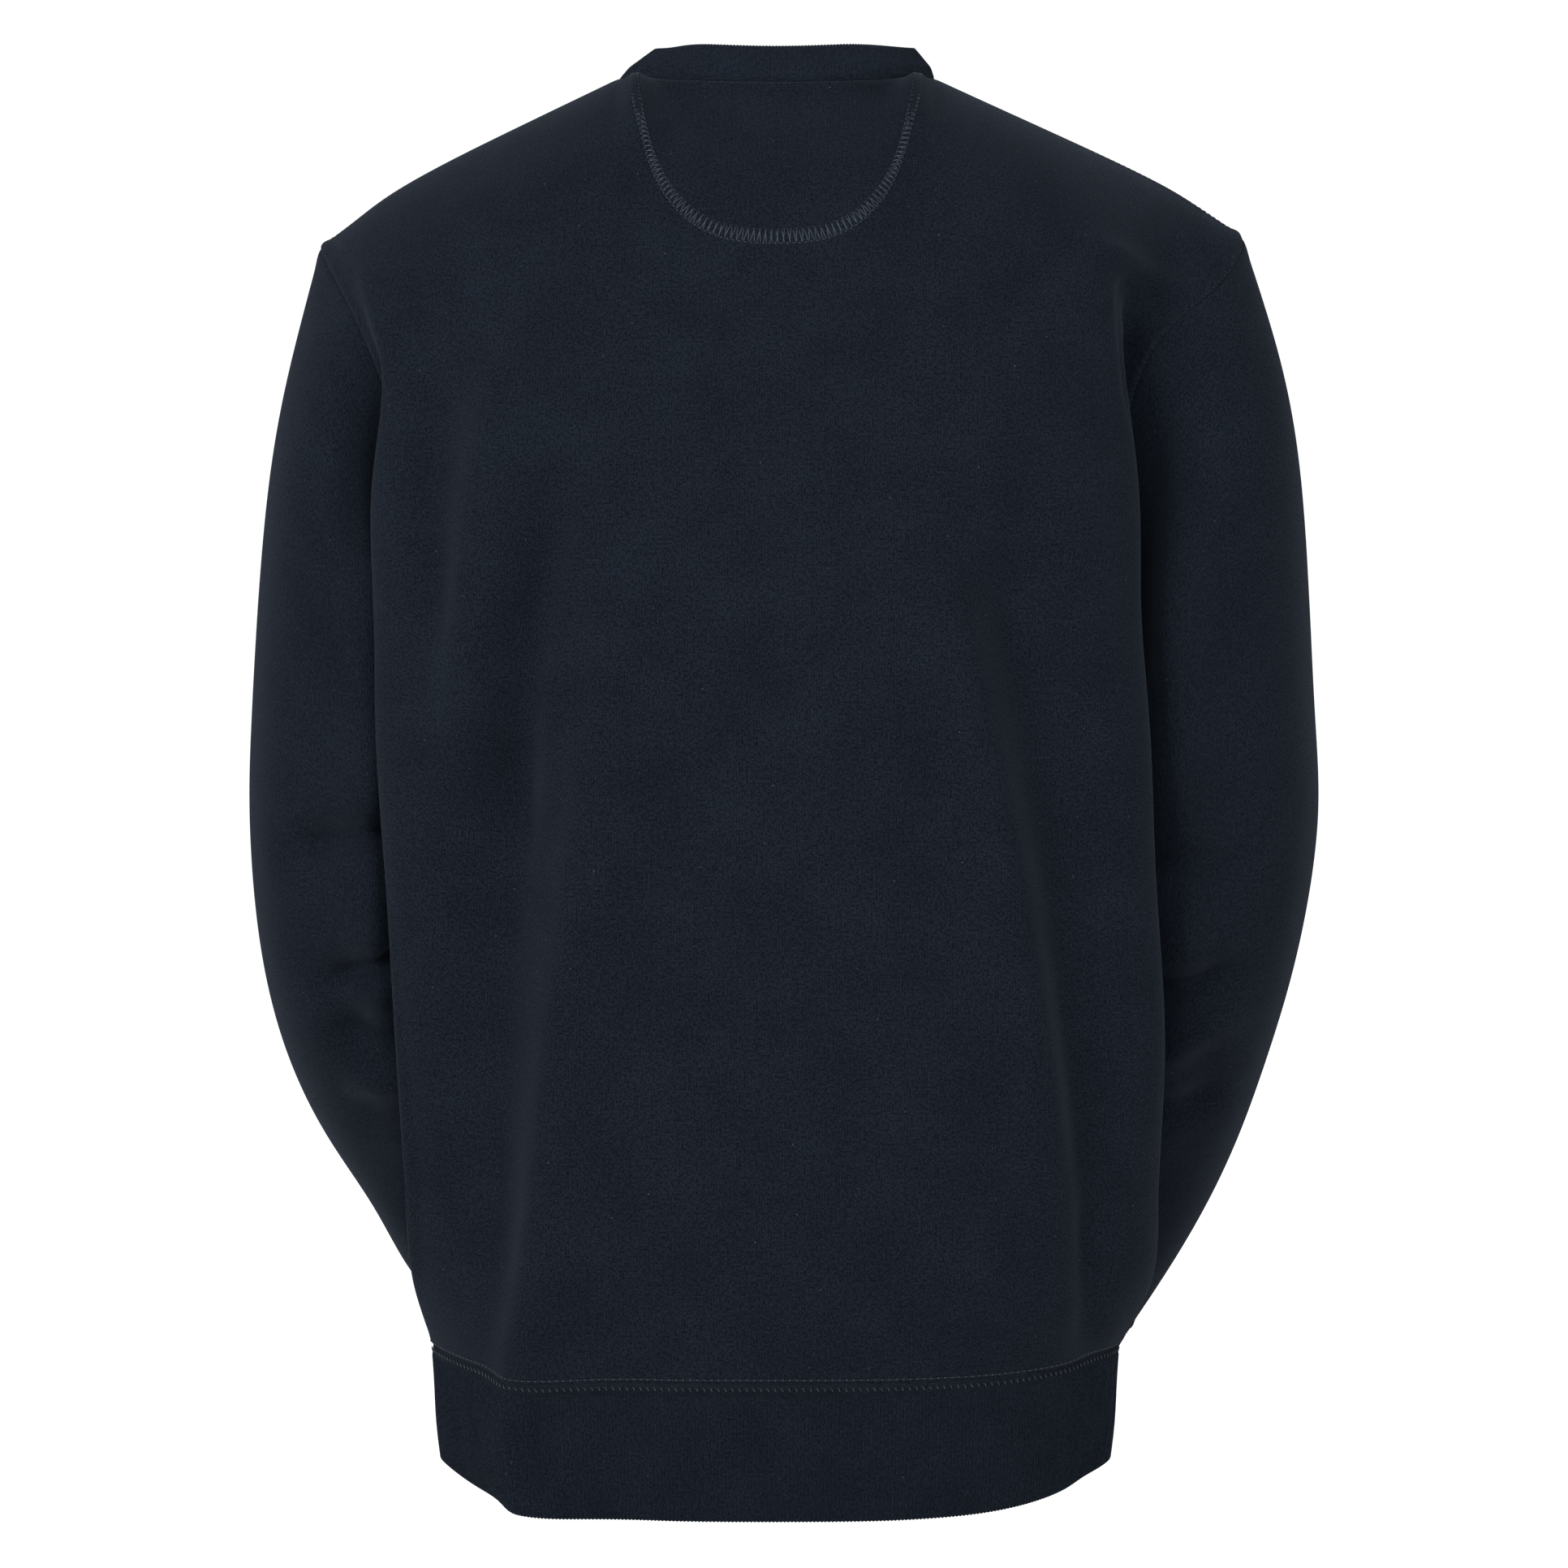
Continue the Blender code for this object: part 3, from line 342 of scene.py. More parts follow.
def panel_surface(face, columns, rows):
    """The middle of a panel's cloth at rows and columns, meeting its neighbours at the seams."""
    top = ROW_KNOTS[-1]
    own, facing = (
        np.array([net_row(one, k, columns) for k in range(len(ROW_KNOTS))])
        for one in (face, OTHER[face])
    )
    over = np.concatenate([own, facing[-2::-1]])
    over_knots = np.concatenate([ROW_KNOTS, 2 * top - ROW_KNOTS[-2::-1]])
    surface = spline(over_knots, over, rows)
    into = np.minimum(columns - NECK_KNOTS[0], NECK_KNOTS[1] - columns)
    collar_edge = np.array([band_top(point) for point in own[-1]])
    beyond = mix(facing[-2], collar_edge, smooth(0, SLANT_REACH, into)[:, None])
    own_and_beyond = np.append(own, beyond[None], axis=0)
    ended = spline(np.append(ROW_KNOTS, top + SLANT_ROW), own_and_beyond, rows)
    surface = mix(surface, ended, smooth(0, NECK_REACH, into)[None, :, None])
    across = spline(over_knots, over[::-1], rows)
    above = rows > ROW_KNOTS[ARMPIT_ROW] + 1e-9
    around = np.interp(rows[above], ROW_KNOTS[ARMPIT_ROW:], np.arange(4, -1, -1))
    for edge, from_edge in ((0, columns), (-1, PANEL_WIDTH - columns)):
        line = mix(surface[:, edge], across[:, edge], 0.5)
        line[above] = armhole(edge, around if face == "back" else 8 - around)
        fade = smooth(SEAM_REACH, 0, from_edge)
        surface = surface + (line - surface[:, edge])[:, None] * fade[None, :, None]
    return surface


# The folds, as paths seen from behind (across, up): start, middle, end, half-width, height off the
# cloth, and how much wider the side to the path's left is than the one to its right
FOLD_COLUMNS = "x0 z0 x1 z1 x2 z2 width height lean"
BACK_FOLDS = table(
    FOLD_COLUMNS,
    (0.066, -0.180, 0.106, -0.485, 0.140, -0.790, 0.020, 0.0100, -0.40),
    (0.094, -0.185, 0.119, -0.290, 0.133, -0.420, 0.013, -0.0110, 0.20),
    (0.124, -0.310, 0.143, -0.480, 0.150, -0.655, 0.029, -0.0200, 0.25),
    (0.120, -0.110, 0.143, -0.215, 0.160, -0.380, 0.017, 0.0070, -0.30),
    (0.156, -0.125, 0.170, -0.200, 0.168, -0.310, 0.013, -0.0075, 0.00),
    (-0.066, -0.205, -0.111, -0.385, -0.150, -0.620, 0.016, 0.0080, 0.35),
    (-0.094, -0.205, -0.137, -0.380, -0.163, -0.640, 0.020, -0.0125, -0.20),
    (-0.050, -0.100, -0.035, -0.160, -0.012, -0.235, 0.021, 0.0055, 0.00),
    (-0.130, -0.200, -0.122, -0.260, -0.110, -0.310, 0.016, -0.0060, 0.00),
    (-0.159, -0.560, -0.158, -0.615, -0.1575, -0.660, 0.009, -0.0060, 0.00),
    (-0.136, -0.655, -0.140, -0.690, -0.146, -0.720, 0.011, -0.0045, 0.00),
    (-0.136, -0.240, -0.156, -0.345, -0.150, -0.470, 0.012, -0.0035, 0.00),
)

# Sharper creases beside the right armhole: a ridge out towards the sleeve, and the fold under it
BACK_CREASES = table(
    FOLD_COLUMNS,
    (-0.150, -0.0905, -0.183, -0.1050, -0.224, -0.1230, 0.0065, 0.0036, 0.00),
    (-0.1760, -0.0960, -0.1765, -0.1280, -0.1820, -0.1900, 0.0055, -0.0060, 0.00),
)
FRONT_FOLDS = table(
    FOLD_COLUMNS,
    (0.090, -0.210, 0.105, -0.400, 0.120, -0.660, 0.018, 0.0070, -0.20),
    (0.118, -0.190, 0.132, -0.300, 0.140, -0.420, 0.016, -0.0075, 0.10),
    (-0.085, -0.190, -0.110, -0.380, -0.125, -0.640, 0.017, 0.0070, 0.20),
    (-0.112, -0.180, -0.130, -0.290, -0.140, -0.400, 0.016, -0.0070, -0.10),
    (0.060, -0.480, 0.030, -0.560, 0.010, -0.640, 0.016, -0.0040, 0.20),
    (-0.040, -0.300, -0.060, -0.430, -0.070, -0.560, 0.020, 0.0040, 0.20),
)


def from_line(flat, line):
    """How far flat points are from a line, signed by their side, and their shares of its length."""
    step = np.diff(line, axis=0)
    lengths = np.linalg.norm(step, axis=1)
    reach = flat[:, None] - line[:-1]
    share = np.clip((reach * step).sum(-1) / lengths**2, 0, 1)
    apart = np.linalg.norm(reach - share[..., None] * step, axis=-1)
    nearest = apart.argmin(axis=1)
    rows = np.arange(len(flat))
    start = running(lengths)
    along = (start[nearest] + share[rows, nearest] * lengths[nearest]) / start[-1]
    turn = step[nearest, 0] * reach[rows, nearest, 1] - step[nearest, 1] * reach[rows, nearest, 0]
    return apart[rows, nearest] * np.where(turn < 0, -1, 1), along


# The shares of a fold's length by which it has risen, and from which it fades
FOLD_RISEN = 0.30
FOLD_FADES = 0.75


def fold_relief(points, fold):
    """How much one fold raises each point: a soft rib along a bent path, fading at both ends."""
    t = np.linspace(0, 1, 13)[:, None]
    ends = np.array([(fold["x0"], fold["z0"]), (fold["x1"], fold["z1"]), (fold["x2"], fold["z2"])])
    bend = 2 * ends[1] - (ends[0] + ends[2]) / 2
    line = (1 - t) ** 2 * ends[0] + 2 * t * (1 - t) * bend + t**2 * ends[2]
    flat = points[..., (0, 2)].reshape(-1, 2)
    apart, along = from_line(flat, line)
    width = fold["width"] * np.where(apart > 0, 1 + fold["lean"], 1 - fold["lean"])
    envelope = smooth(0, FOLD_RISEN, along) * smooth(1, FOLD_FADES, along)
    return (fold["height"] * np.exp(-((apart / width) ** 2)) * envelope).reshape(points.shape[:-1])


def relief(points, normals, folds, toward):
    """All folds of a list, on the cloth that faces `toward` (+1 back, -1 front)."""
    facing = smooth(0.05, 0.45, normals[..., 1] * toward)
    return facing * sum(fold_relief(points, fold) for fold in folds)


def outward(points, turn, closed):
    """Unit normals of a grid of points. A closed grid's last column lies on its first."""
    across = np.gradient(points, axis=1)
    if closed:
        across[:, 0] = across[:, -1] = points[:, 1] - points[:, -2]
    up = np.gradient(points, axis=0)
    return unit(np.cross(across, up) * turn)


def lengths_along(points, axis):
    """How far each point of a grid, or of one line, is along its line from the first edge."""
    steps = np.linalg.norm(np.diff(points, axis=axis), axis=-1)
    start = np.zeros_like(np.take(steps, [0], axis=axis))
    return np.concatenate([start, np.cumsum(steps, axis=axis)], axis=axis)


def seam_roll(apart, height, wide=0.0055, held=0.0013):
    """Height of the soft roll beside a seam. On the seam itself the stitches hold it down."""
    return height * (1 - np.exp(-((apart / held) ** 2))) * np.exp(-((apart / wide) ** 4))


def lay_cloth(name, points, turn, closed_across=False, closed_up=False):
    """A grid of cloth with its vertices at the points, and its UV map in metres across and up."""
    rows, columns = points.shape[:2]
    bpy.ops.object.select_all(action="DESELECT")
    bpy.ops.mesh.primitive_grid_add(
        x_subdivisions=columns - 1, y_subdivisions=rows - 1, size=1, location=(0, 0, 0)
    )
    piece = bpy.context.object
    piece.name = name
    mesh = piece.data
    mesh.name = name
    mesh.vertices.foreach_set("co", points.astype(np.float32).ravel())
    across = lengths_along(points, 1)
    across -= across[:, columns // 2][:, None]
    up = lengths_along(points, 0)
    place = np.stack([across, up], axis=-1).reshape(-1, 2)
    corners = np.zeros(len(mesh.loops), np.int32)
    mesh.loops.foreach_get("vertex_index", corners)
    mesh.uv_layers[0].data.foreach_set("uv", place[corners].astype(np.float32).ravel())
    bpy.ops.object.mode_set(mode="EDIT")
    bpy.ops.mesh.select_all(action="SELECT")
    if closed_across or closed_up:
        bpy.ops.mesh.remove_doubles(threshold=1e-6)
    if turn < 0:
        bpy.ops.mesh.flip_normals()
    bpy.ops.mesh.faces_shade_smooth()
    bpy.ops.object.mode_set(mode="OBJECT")
    return piece


def give_thickness(piece, thickness):
    """Both skins and the cut edges of a cloth, from the grid of its middle. Edges are thinner."""
    mesh = piece.data
    group = piece.vertex_groups.new(name="cloth")
    group.add(list(range(len(mesh.vertices))), 1.0, "REPLACE")
    uses = {}
    for face in mesh.polygons:
        for edge in face.edge_keys:
            uses[edge] = uses.get(edge, 0) + 1
    rim = {v for edge, count in uses.items() if count == 1 for v in edge}
    group.add(sorted(rim), 0.0, "REPLACE")
    wall = piece.modifiers.new("thickness", "SOLIDIFY")
    wall.thickness = thickness
    wall.offset = 0
    wall.vertex_group = "cloth"
    wall.thickness_vertex_group = SEAM_THICKNESS / thickness
    bpy.context.view_layer.objects.active = piece
    bpy.ops.object.modifier_apply(modifier="thickness")
    piece.vertex_groups.clear()


def draw_in(points, edges):
    """Pulls the sewn edges of a grid in by half the gap of a seam."""
    drawn = points.copy()
    for rim, near in edges:
        drawn[rim] += unit(points[near] - points[rim]) * SEAM_GAP / 2
    return drawn


# Each edge of a grid, with the line of points beside it
FIRST_ROW = np.s_[0, :], np.s_[1, :]
LAST_ROW = np.s_[-1, :], np.s_[-2, :]
BOTH_ENDS = FIRST_ROW, LAST_ROW
ALL_ROUND = *BOTH_ENDS, (np.s_[:, 0], np.s_[:, 1]), (np.s_[:, -1], np.s_[:, -2])

PANEL_STEP = 0.0030
COLUMNS = closer_at_seams(PANEL_WIDTH, PANEL_STEP)
ROWS = closer_at_seams(ROW_KNOTS[-1], PANEL_STEP)

# The half-moon's outline on the cloth: half its width along the neck seam, and its depth
MOON_HALF = 0.0712
MOON_DEEP = 0.1005
MOON_SQUARENESS = 3.2


def moon_line(count):
    """The half-moon's outline from left to right: how far along the neck seam, and how far down."""
    angle = np.linspace(np.pi, 0, count)
    power = 2 / MOON_SQUARENESS
    along = np.sign(np.cos(angle)) * np.abs(np.cos(angle)) ** power
    return np.stack([MOON_HALF * along, MOON_DEEP * np.abs(np.sin(angle)) ** power], axis=-1)


# How far from the shoulder seams and the armholes the folds have faded out, between which heights
# the armholes begin to calm them, and how near the creases come to the sides
SHOULDER_CALM = 0.057
ARMHOLE_CALM = 0.0775
ARMHOLE_CALM_ROWS = (0.240, 0.375)
CREASE_CALM = 0.025

# The rolls beside the seams: their heights, what the armholes add, and what the hem and the collar
# take off, with the heights up the panel (and across the neck) between which each sets in
SIDE_ROLL = 0.0006
ARMHOLE_ROLL = 0.0004
ARMHOLE_ROWS = (0.370, 0.385)
END_ROLL = 0.0009
HEM_ROLL_LESS = 0.0005
BESIDE_HEM = (0.040, 0.030)
NECK_ROLL_LESS = 0.0006
BESIDE_NECK = (0.600, 0.604)
ACROSS_NECK = (0.085, 0.075)
MOON_ROLL = 0.0006
MOON_ROLL_WIDE = 0.0045


def shaped_panel(face):
    """A panel's cloth with its folds and the rolls beside its seams."""
    turn = 1 if face == "back" else -1
    rows = ROWS[:, None]
    points = panel_surface(face, COLUMNS, ROWS)
    normals = outward(points, turn, False)
    from_side = np.minimum(COLUMNS, PANEL_WIDTH - COLUMNS)[None, :]
    above_armpit = smooth(*ARMHOLE_CALM_ROWS, rows)
    below_shoulder = smooth(0, SHOULDER_CALM, ROWS[-1] - rows)
    calm = (1 - above_armpit * (1 - smooth(0, ARMHOLE_CALM, from_side))) * below_shoulder
    crease_calm = smooth(0, CREASE_CALM, from_side) * below_shoulder
    amount = relief(points, normals, BACK_FOLDS, 1) + relief(points, normals, FRONT_FOLDS, -1)
    creased = relief(points, normals, BACK_CREASES, 1)
    points = points + normals * (amount * calm + creased * crease_calm)[..., None]
    normals = outward(points, turn, False)
    across = lengths_along(points, 1)
    up = lengths_along(points, 0)
    down = up[-1:] - up
    along_neck = points[-1:, :, 0]
    beside_neck = smooth(*BESIDE_NECK, rows) * smooth(*ACROSS_NECK, np.abs(along_neck))
    side_roll = SIDE_ROLL + ARMHOLE_ROLL * smooth(*ARMHOLE_ROWS, rows)
    end_roll = END_ROLL - NECK_ROLL_LESS * beside_neck - HEM_ROLL_LESS * smooth(*BESIDE_HEM, rows)
    rolls = seam_roll(np.minimum(across, across[:, -1:] - across), side_roll)
    rolls = rolls + seam_roll(np.minimum(up, down), end_roll)
    if face == "back":
        place = np.stack([along_neck * np.ones_like(up), down], axis=-1).reshape(-1, 2)
        apart = from_line(place, moon_line(61))[0].reshape(up.shape)
        near_moon = down < MOON_DEEP + 0.02
        rolls += MOON_ROLL * np.exp(-((apart / MOON_ROLL_WIDE) ** 4)) * near_moon
    return points + normals * rolls[..., None]


def feed(tree, node, values):
    """Gives a shader node its inputs. An output of another node is linked, anything else is set."""
    for name, value in values.items():
        if isinstance(value, bpy.types.NodeSocket):
            tree.links.new(value, node.inputs[name])
        else:
            node.inputs[name].default_value = value


def add_node(tree, kind, values, **settings):
    """A new shader node with its settings and inputs."""
    node = tree.nodes.new(kind)
    for name, value in settings.items():
        setattr(node, name, value)
    feed(tree, node, values)
    return node


def mixed(tree, share, first, second, **settings):
    """A colour mixed from two others."""
    values = {"Fac": share, "Color1": first, "Color2": second}
    return add_node(tree, "ShaderNodeMixRGB", values, **settings).outputs[0]


# A knit's face: its noise patterns (scale per metre, detail, roughness), the shares of each part in
# the relief, the range of each that makes the colour with its share, and the specks of lint. The
# wale's share is painted shade: darker in the grooves between the wales, lighter on their crests.
NOISES = {
    "waver": (55, 2, 0.5),
    "fuzz": (850, 3, 0.75),
    "tuft": (330, 3, 0.7),
    "rare": (70, 1, 0.5),
    "mottle": (24, 5, 0.68),
}
RELIEF_SHARES = {"wale": 0.55, "loops": 0.16, "fuzz": 1.00, "tuft": 0.45}
TONE_AND_SHADE_RANGES = {"fuzz": (0.42, 0.58, 0.66), "tuft": (0.38, 0.62, 0.18), "wale": (0.0, 1.0, 0.16)}
LOOP_SLANT = -0.55
WOBBLE = 0.0012
LINT_SCALE = 130
LINT_RADII = (0.055, 0.025)
LINT_RARE = 0.55


def knit_group():
    """A knit's face as a pattern of the cloth's UV map: wales of V-shaped loops, fuzz and lint."""
    group = bpy.data.node_groups.new("knit_face", "ShaderNodeTree")
    group.interface.new_socket("Place", in_out="INPUT", socket_type="NodeSocketVector")
    for name in ("Wale", "Course", "Wobble"):
        group.interface.new_socket(name, in_out="INPUT", socket_type="NodeSocketFloat")
    for name in ("Height", "Fuzz_and_wale_shade", "Lint", "Mottle"):
        group.interface.new_socket(name, in_out="OUTPUT", socket_type="NodeSocketFloat")
    given = group.nodes.new("NodeGroupInput").outputs

    def maths(operation, *values):
        """A sum or other operation on numbers."""
        node = add_node(group, "ShaderNodeMath", dict(enumerate(values)), operation=operation)
        return node.outputs[0]

    def noise(name):
        """One of the noise patterns, from 0 to 1."""
        values = dict(zip(("Scale", "Detail", "Roughness"), NOISES[name]))
        values["Vector"] = given["Place"]
        return add_node(group, "ShaderNodeTexNoise", values).outputs["Fac"]

    def spread(value, low, high, share):
        """A value between low and high as a part of the share."""
        values = {"Value": value, "From Min": low, "From Max": high, "To Max": share}
        return add_node(group, "ShaderNodeMapRange", values).outputs["Result"]

    split = add_node(group, "ShaderNodeSeparateXYZ", {0: given["Place"]}).outputs
    drift = maths("MULTIPLY", maths("SUBTRACT", noise("waver"), 0.5), given["Wobble"])
    u = maths("DIVIDE", maths("ADD", split["X"], drift), given["Wale"])
    v = maths("DIVIDE", maths("ADD", split["Y"], drift), given["Course"])
    away = maths("MULTIPLY", maths("ABSOLUTE", maths("SUBTRACT", maths("FRACT", u), 0.5)), 2.0)
    slanted = maths("ADD", v, maths("MULTIPLY", away, LOOP_SLANT))
    parts = {
        "wale": maths("SUBTRACT", 1.0, maths("MULTIPLY", away, away)),
        "loops": maths("SINE", maths("MULTIPLY", slanted, 2 * np.pi)),
        "fuzz": noise("fuzz"),
        "tuft": noise("tuft"),
    }
    height = 0.0
    for name, share in RELIEF_SHARES.items():
        height = maths("ADD", height, maths("MULTIPLY", parts[name], share))
    # Colour of the fibres: random fuzz and tufts, with painted shade in the grooves between the
    # wales
    tone_and_wale_shade = 0.0
    for name, span in TONE_AND_SHADE_RANGES.items():
        tone_and_wale_shade = maths("ADD", tone_and_wale_shade, spread(parts[name], *span))
    cells = {"Vector": given["Place"], "Scale": LINT_SCALE}
    specks = add_node(group, "ShaderNodeTexVoronoi", cells).outputs["Distance"]
    near = spread(specks, *LINT_RADII, 1.0)
    lint = maths("MULTIPLY", near, maths("GREATER_THAN", noise("rare"), LINT_RARE))
    made = {"Height": height, "Fuzz_and_wale_shade": tone_and_wale_shade, "Lint": lint, "Mottle": noise("mottle")}
    feed(group, group.nodes.new("NodeGroupOutput"), made)
    return group


KNIT = knit_group()
SHEEN_TINT = (0.50, 0.62, 0.82, 1)
LINT_COLOUR = (0.060, 0.068, 0.080, 1)
MOTTLE_STOPS = ((0.35, (0.82, 0.82, 0.84, 1)), (0.65, (1.16, 1.16, 1.14, 1)))
MOTTLE_SHARE = 0.75


def knit_material(name, dark, light, wale, course, bump, sheen):
    """Dyed cotton knit: a dull fibre face with a soft sheen where it turns away."""
    material = bpy.data.materials.new(name)
    material.use_nodes = True
    tree = material.node_tree
    place = add_node(tree, "ShaderNodeUVMap", {}, uv_map="UVMap").outputs[0]
    pattern = {"Place": place, "Wale": wale, "Course": course, "Wobble": WOBBLE}
    knit = add_node(tree, "ShaderNodeGroup", pattern, node_tree=KNIT).outputs
    ramp = add_node(tree, "ShaderNodeValToRGB", {"Fac": knit["Mottle"]})
    for element, (position, colour) in zip(ramp.color_ramp.elements, MOTTLE_STOPS):
        element.position = position
        element.color = colour
    # Fibre colour from random fuzz and tufts, with painted shade between the wales and lighter
    # crests
    fibre = mixed(tree, knit["Fuzz_and_wale_shade"], (*dark, 1), (*light, 1))
    dyed_and_shaded = mixed(tree, MOTTLE_SHARE, fibre, ramp.outputs["Color"], blend_type="MULTIPLY")
    lumps = add_node(
        tree, "ShaderNodeBump", {"Strength": 1.0, "Distance": bump, "Height": knit["Height"]}
    )
    look = {
        "Base Color": mixed(tree, knit["Lint"], dyed_and_shaded, LINT_COLOUR),
        "Normal": lumps.outputs["Normal"],
        "Roughness": 0.92,
        "Specular IOR Level": 0.05,
        "Sheen Weight": sheen,
        "Sheen Roughness": 0.42,
        "Sheen Tint": SHEEN_TINT,
    }
    feed(tree, tree.nodes["Principled BSDF"], look)
    return material


fleece = knit_material(
    "navy_fleece",
    dark=(0.0014, 0.0028, 0.0060),
    light=(0.0114, 0.0154, 0.0226),
    wale=0.00140,
    course=0.00115,
    bump=0.00022,
    sheen=0.07,
)

cloth = {"back": shaped_panel("back")}
back_panel = lay_cloth("back_panel_cloth", draw_in(cloth["back"], ALL_ROUND), 1)
give_thickness(back_panel, FLEECE)
back_panel.data.materials.append(fleece)
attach(back_panel, "root")
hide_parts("back_panel")

# ----------------------------------------------------------------------
# Front panel: the same fleece, cut lower at the neck, and hanging fuller over the chest.
# Its folds fall from the shoulder points and gather softly above the hem band.
cloth["front"] = shaped_panel("front")
front_panel = lay_cloth("front_panel_cloth", draw_in(cloth["front"], ALL_ROUND), -1)
give_thickness(front_panel, FLEECE)
front_panel.data.materials.append(fleece)
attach(front_panel, "root")
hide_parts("front_panel")

# ----------------------------------------------------------------------
# Sleeves: each one piece of fleece closed by an underarm seam, set into its armhole and narrowing
# to the cuff. The arms hang bent forwards, so creases gather on the inner side of the elbow.

# Rings below the armpit, square to the arm: the height and place of the outer side, and the ring's
# size from side to side and from back to front. The last rows are the cuff's.
SLEEVE_COLUMNS = "level outer middle_y wide deep"
SLEEVE = {
    "left": table(
        SLEEVE_COLUMNS,
        (-0.325, 0.2722, -0.022, 0.103, 0.170),
        (-0.380, 0.2738, -0.025, 0.110, 0.166),
        (-0.435, 0.2706, -0.036, 0.105, 0.156),
        (-0.490, 0.2608, -0.066, 0.099, 0.140),
        (-0.540, 0.2420, -0.099, 0.090, 0.118),
        (-0.585, 0.2184, -0.124, 0.079, 0.098),
        (-0.618, 0.2020, -0.141, 0.066, 0.086),
        (-0.636, 0.1915, -0.150, 0.058, 0.070),
        (-0.662, 0.1790, -0.162, 0.054, 0.060),
        (-0.686, 0.1690, -0.172, 0.053, 0.059),
    ),
    "right": table(
        SLEEVE_COLUMNS,
        (-0.325, 0.2796, -0.025, 0.114, 0.168),
        (-0.380, 0.2818, -0.030, 0.119, 0.164),
        (-0.440, 0.2736, -0.038, 0.110, 0.154),
        (-0.495, 0.2606, -0.066, 0.099, 0.138),
        (-0.550, 0.2445, -0.097, 0.091, 0.118),
        (-0.600, 0.2235, -0.124, 0.080, 0.098),
        (-0.637, 0.2030, -0.142, 0.066, 0.086),
        (-0.655, 0.1930, -0.151, 0.058, 0.070),
        (-0.681, 0.1800, -0.163, 0.054, 0.060),
        (-0.705, 0.1700, -0.173, 0.053, 0.059),
    ),
}
CUFF_ROWS = 2

# How much further out each of a ring's eight points lies than on an ellipse, and how much of that
# each ring takes: the cloth lies flat against the body's side, and the wrist is round
RING_FULLNESS = (0.0, 0.02, 0.0, 0.11, 0.0, 0.04, 0.0, 0.02)
RING_SHARES = (1.0, 1.0, 1.0, 0.8, 0.6, 0.4, 0.2, 0.0, 0.0, 0.0)

# The cap between the armhole and the first ring: two rings, how strongly it pulls, and how far out
# it leaves the armhole, on the shoulder and at the seven other points round it
CAP_RINGS = (0.30, 0.66)
CAP_PULL = 0.85
CAP_LEAN = {"left": 0.30, "right": 0.40}
CAP_SLANT = (0.55, 0.72, 0.86, 0.90, 0.86, 0.72, 0.55)
CAP_SPREAD = 0.12
SLEEVE_FOLDS = table(
    FOLD_COLUMNS,
    (0.210, -0.150, 0.206, -0.280, 0.206, -0.430, 0.014, 0.0085, 0.00),
    (0.203, -0.400, 0.198, -0.490, 0.188, -0.590, 0.014, 0.0070, 0.00),
    (-0.205, -0.160, -0.204, -0.280, -0.206, -0.430, 0.014, 0.0065, 0.00),
    (-0.208, -0.400, -0.204, -0.490, -0.194, -0.580, 0.014, 0.0060, 0.00),
    (0.258, -0.458, 0.195, -0.454, 0.140, -0.448, 0.014, -0.0050, 0.00),
    (-0.262, -0.466, -0.200, -0.470, -0.140, -0.462, 0.014, -0.0045, 0.00),
)

# Sharper creases where the elbows bend, from the outer side in towards the body
SLEEVE_CREASES = table(
    FOLD_COLUMNS,
    (0.262, -0.404, 0.215, -0.392, 0.150, -0.385, 0.0095, -0.0140, -0.30),
    (0.241, -0.476, 0.206, -0.459, 0.140, -0.441, 0.0070, -0.0135, -0.25),
    (0.240, -0.486, 0.200, -0.493, 0.140, -0.494, 0.0125, -0.0105, -0.30),
    (0.228, -0.524, 0.200, -0.513, 0.150, -0.506, 0.0085, 0.0065, 0.00),
    (0.2085, -0.110, 0.2075, -0.200, 0.2070, -0.310, 0.0140, 0.0090, 0.65),
    (0.2070, -0.330, 0.2055, -0.410, 0.2035, -0.500, 0.0130, 0.0050, 0.60),
    (-0.207, -0.125, -0.2020, -0.230, -0.2010, -0.350, 0.0110, 0.0045, -0.40),
    (0.262, -0.424, 0.215, -0.420, 0.150, -0.412, 0.0110, 0.0025, 0.00),
    (-0.252, -0.402, -0.205, -0.406, -0.150, -0.400, 0.0085, -0.0060, 0.35),
    (-0.248, -0.452, -0.205, -0.468, -0.150, -0.466, 0.0080, -0.0075, 0.35),
    (-0.252, -0.476, -0.212, -0.492, -0.170, -0.520, 0.0090, 0.0050, 0.00),
    (-0.240, -0.520, -0.200, -0.530, -0.150, -0.526, 0.0085, -0.0060, 0.20),
)


def ring_frames(side):
    """Centre, outward and backward half-axes of each sleeve ring, square to the arm."""
    sign = SIDES[side]
    outer = np.array([(sign * row["outer"], row["middle_y"], row["level"]) for row in SLEEVE[side]])
    frames = []
    for row, point, axis in zip(SLEEVE[side], outer, unit(np.gradient(outer, axis=0))):
        out = np.array((sign, 0.0, 0.0))
        out = unit(out - axis * (out @ axis))
        back = unit(np.cross(axis, out))
        back *= np.sign(back[1])
        half_wide = out * row["wide"] / 2
        frames.append((point - half_wide, half_wide, back * row["deep"] / 2))
    return frames


def hermite(start, leaving, end, arriving, t):
    """A point of the cubic between two points with the given directions, at t from 0 to 1."""
    return (
        (2 * t**3 - 3 * t**2 + 1) * start
        + (t**3 - 2 * t**2 + t) * leaving
        + (3 * t**2 - 2 * t**3) * end
        + (t**3 - t**2) * arriving
    )


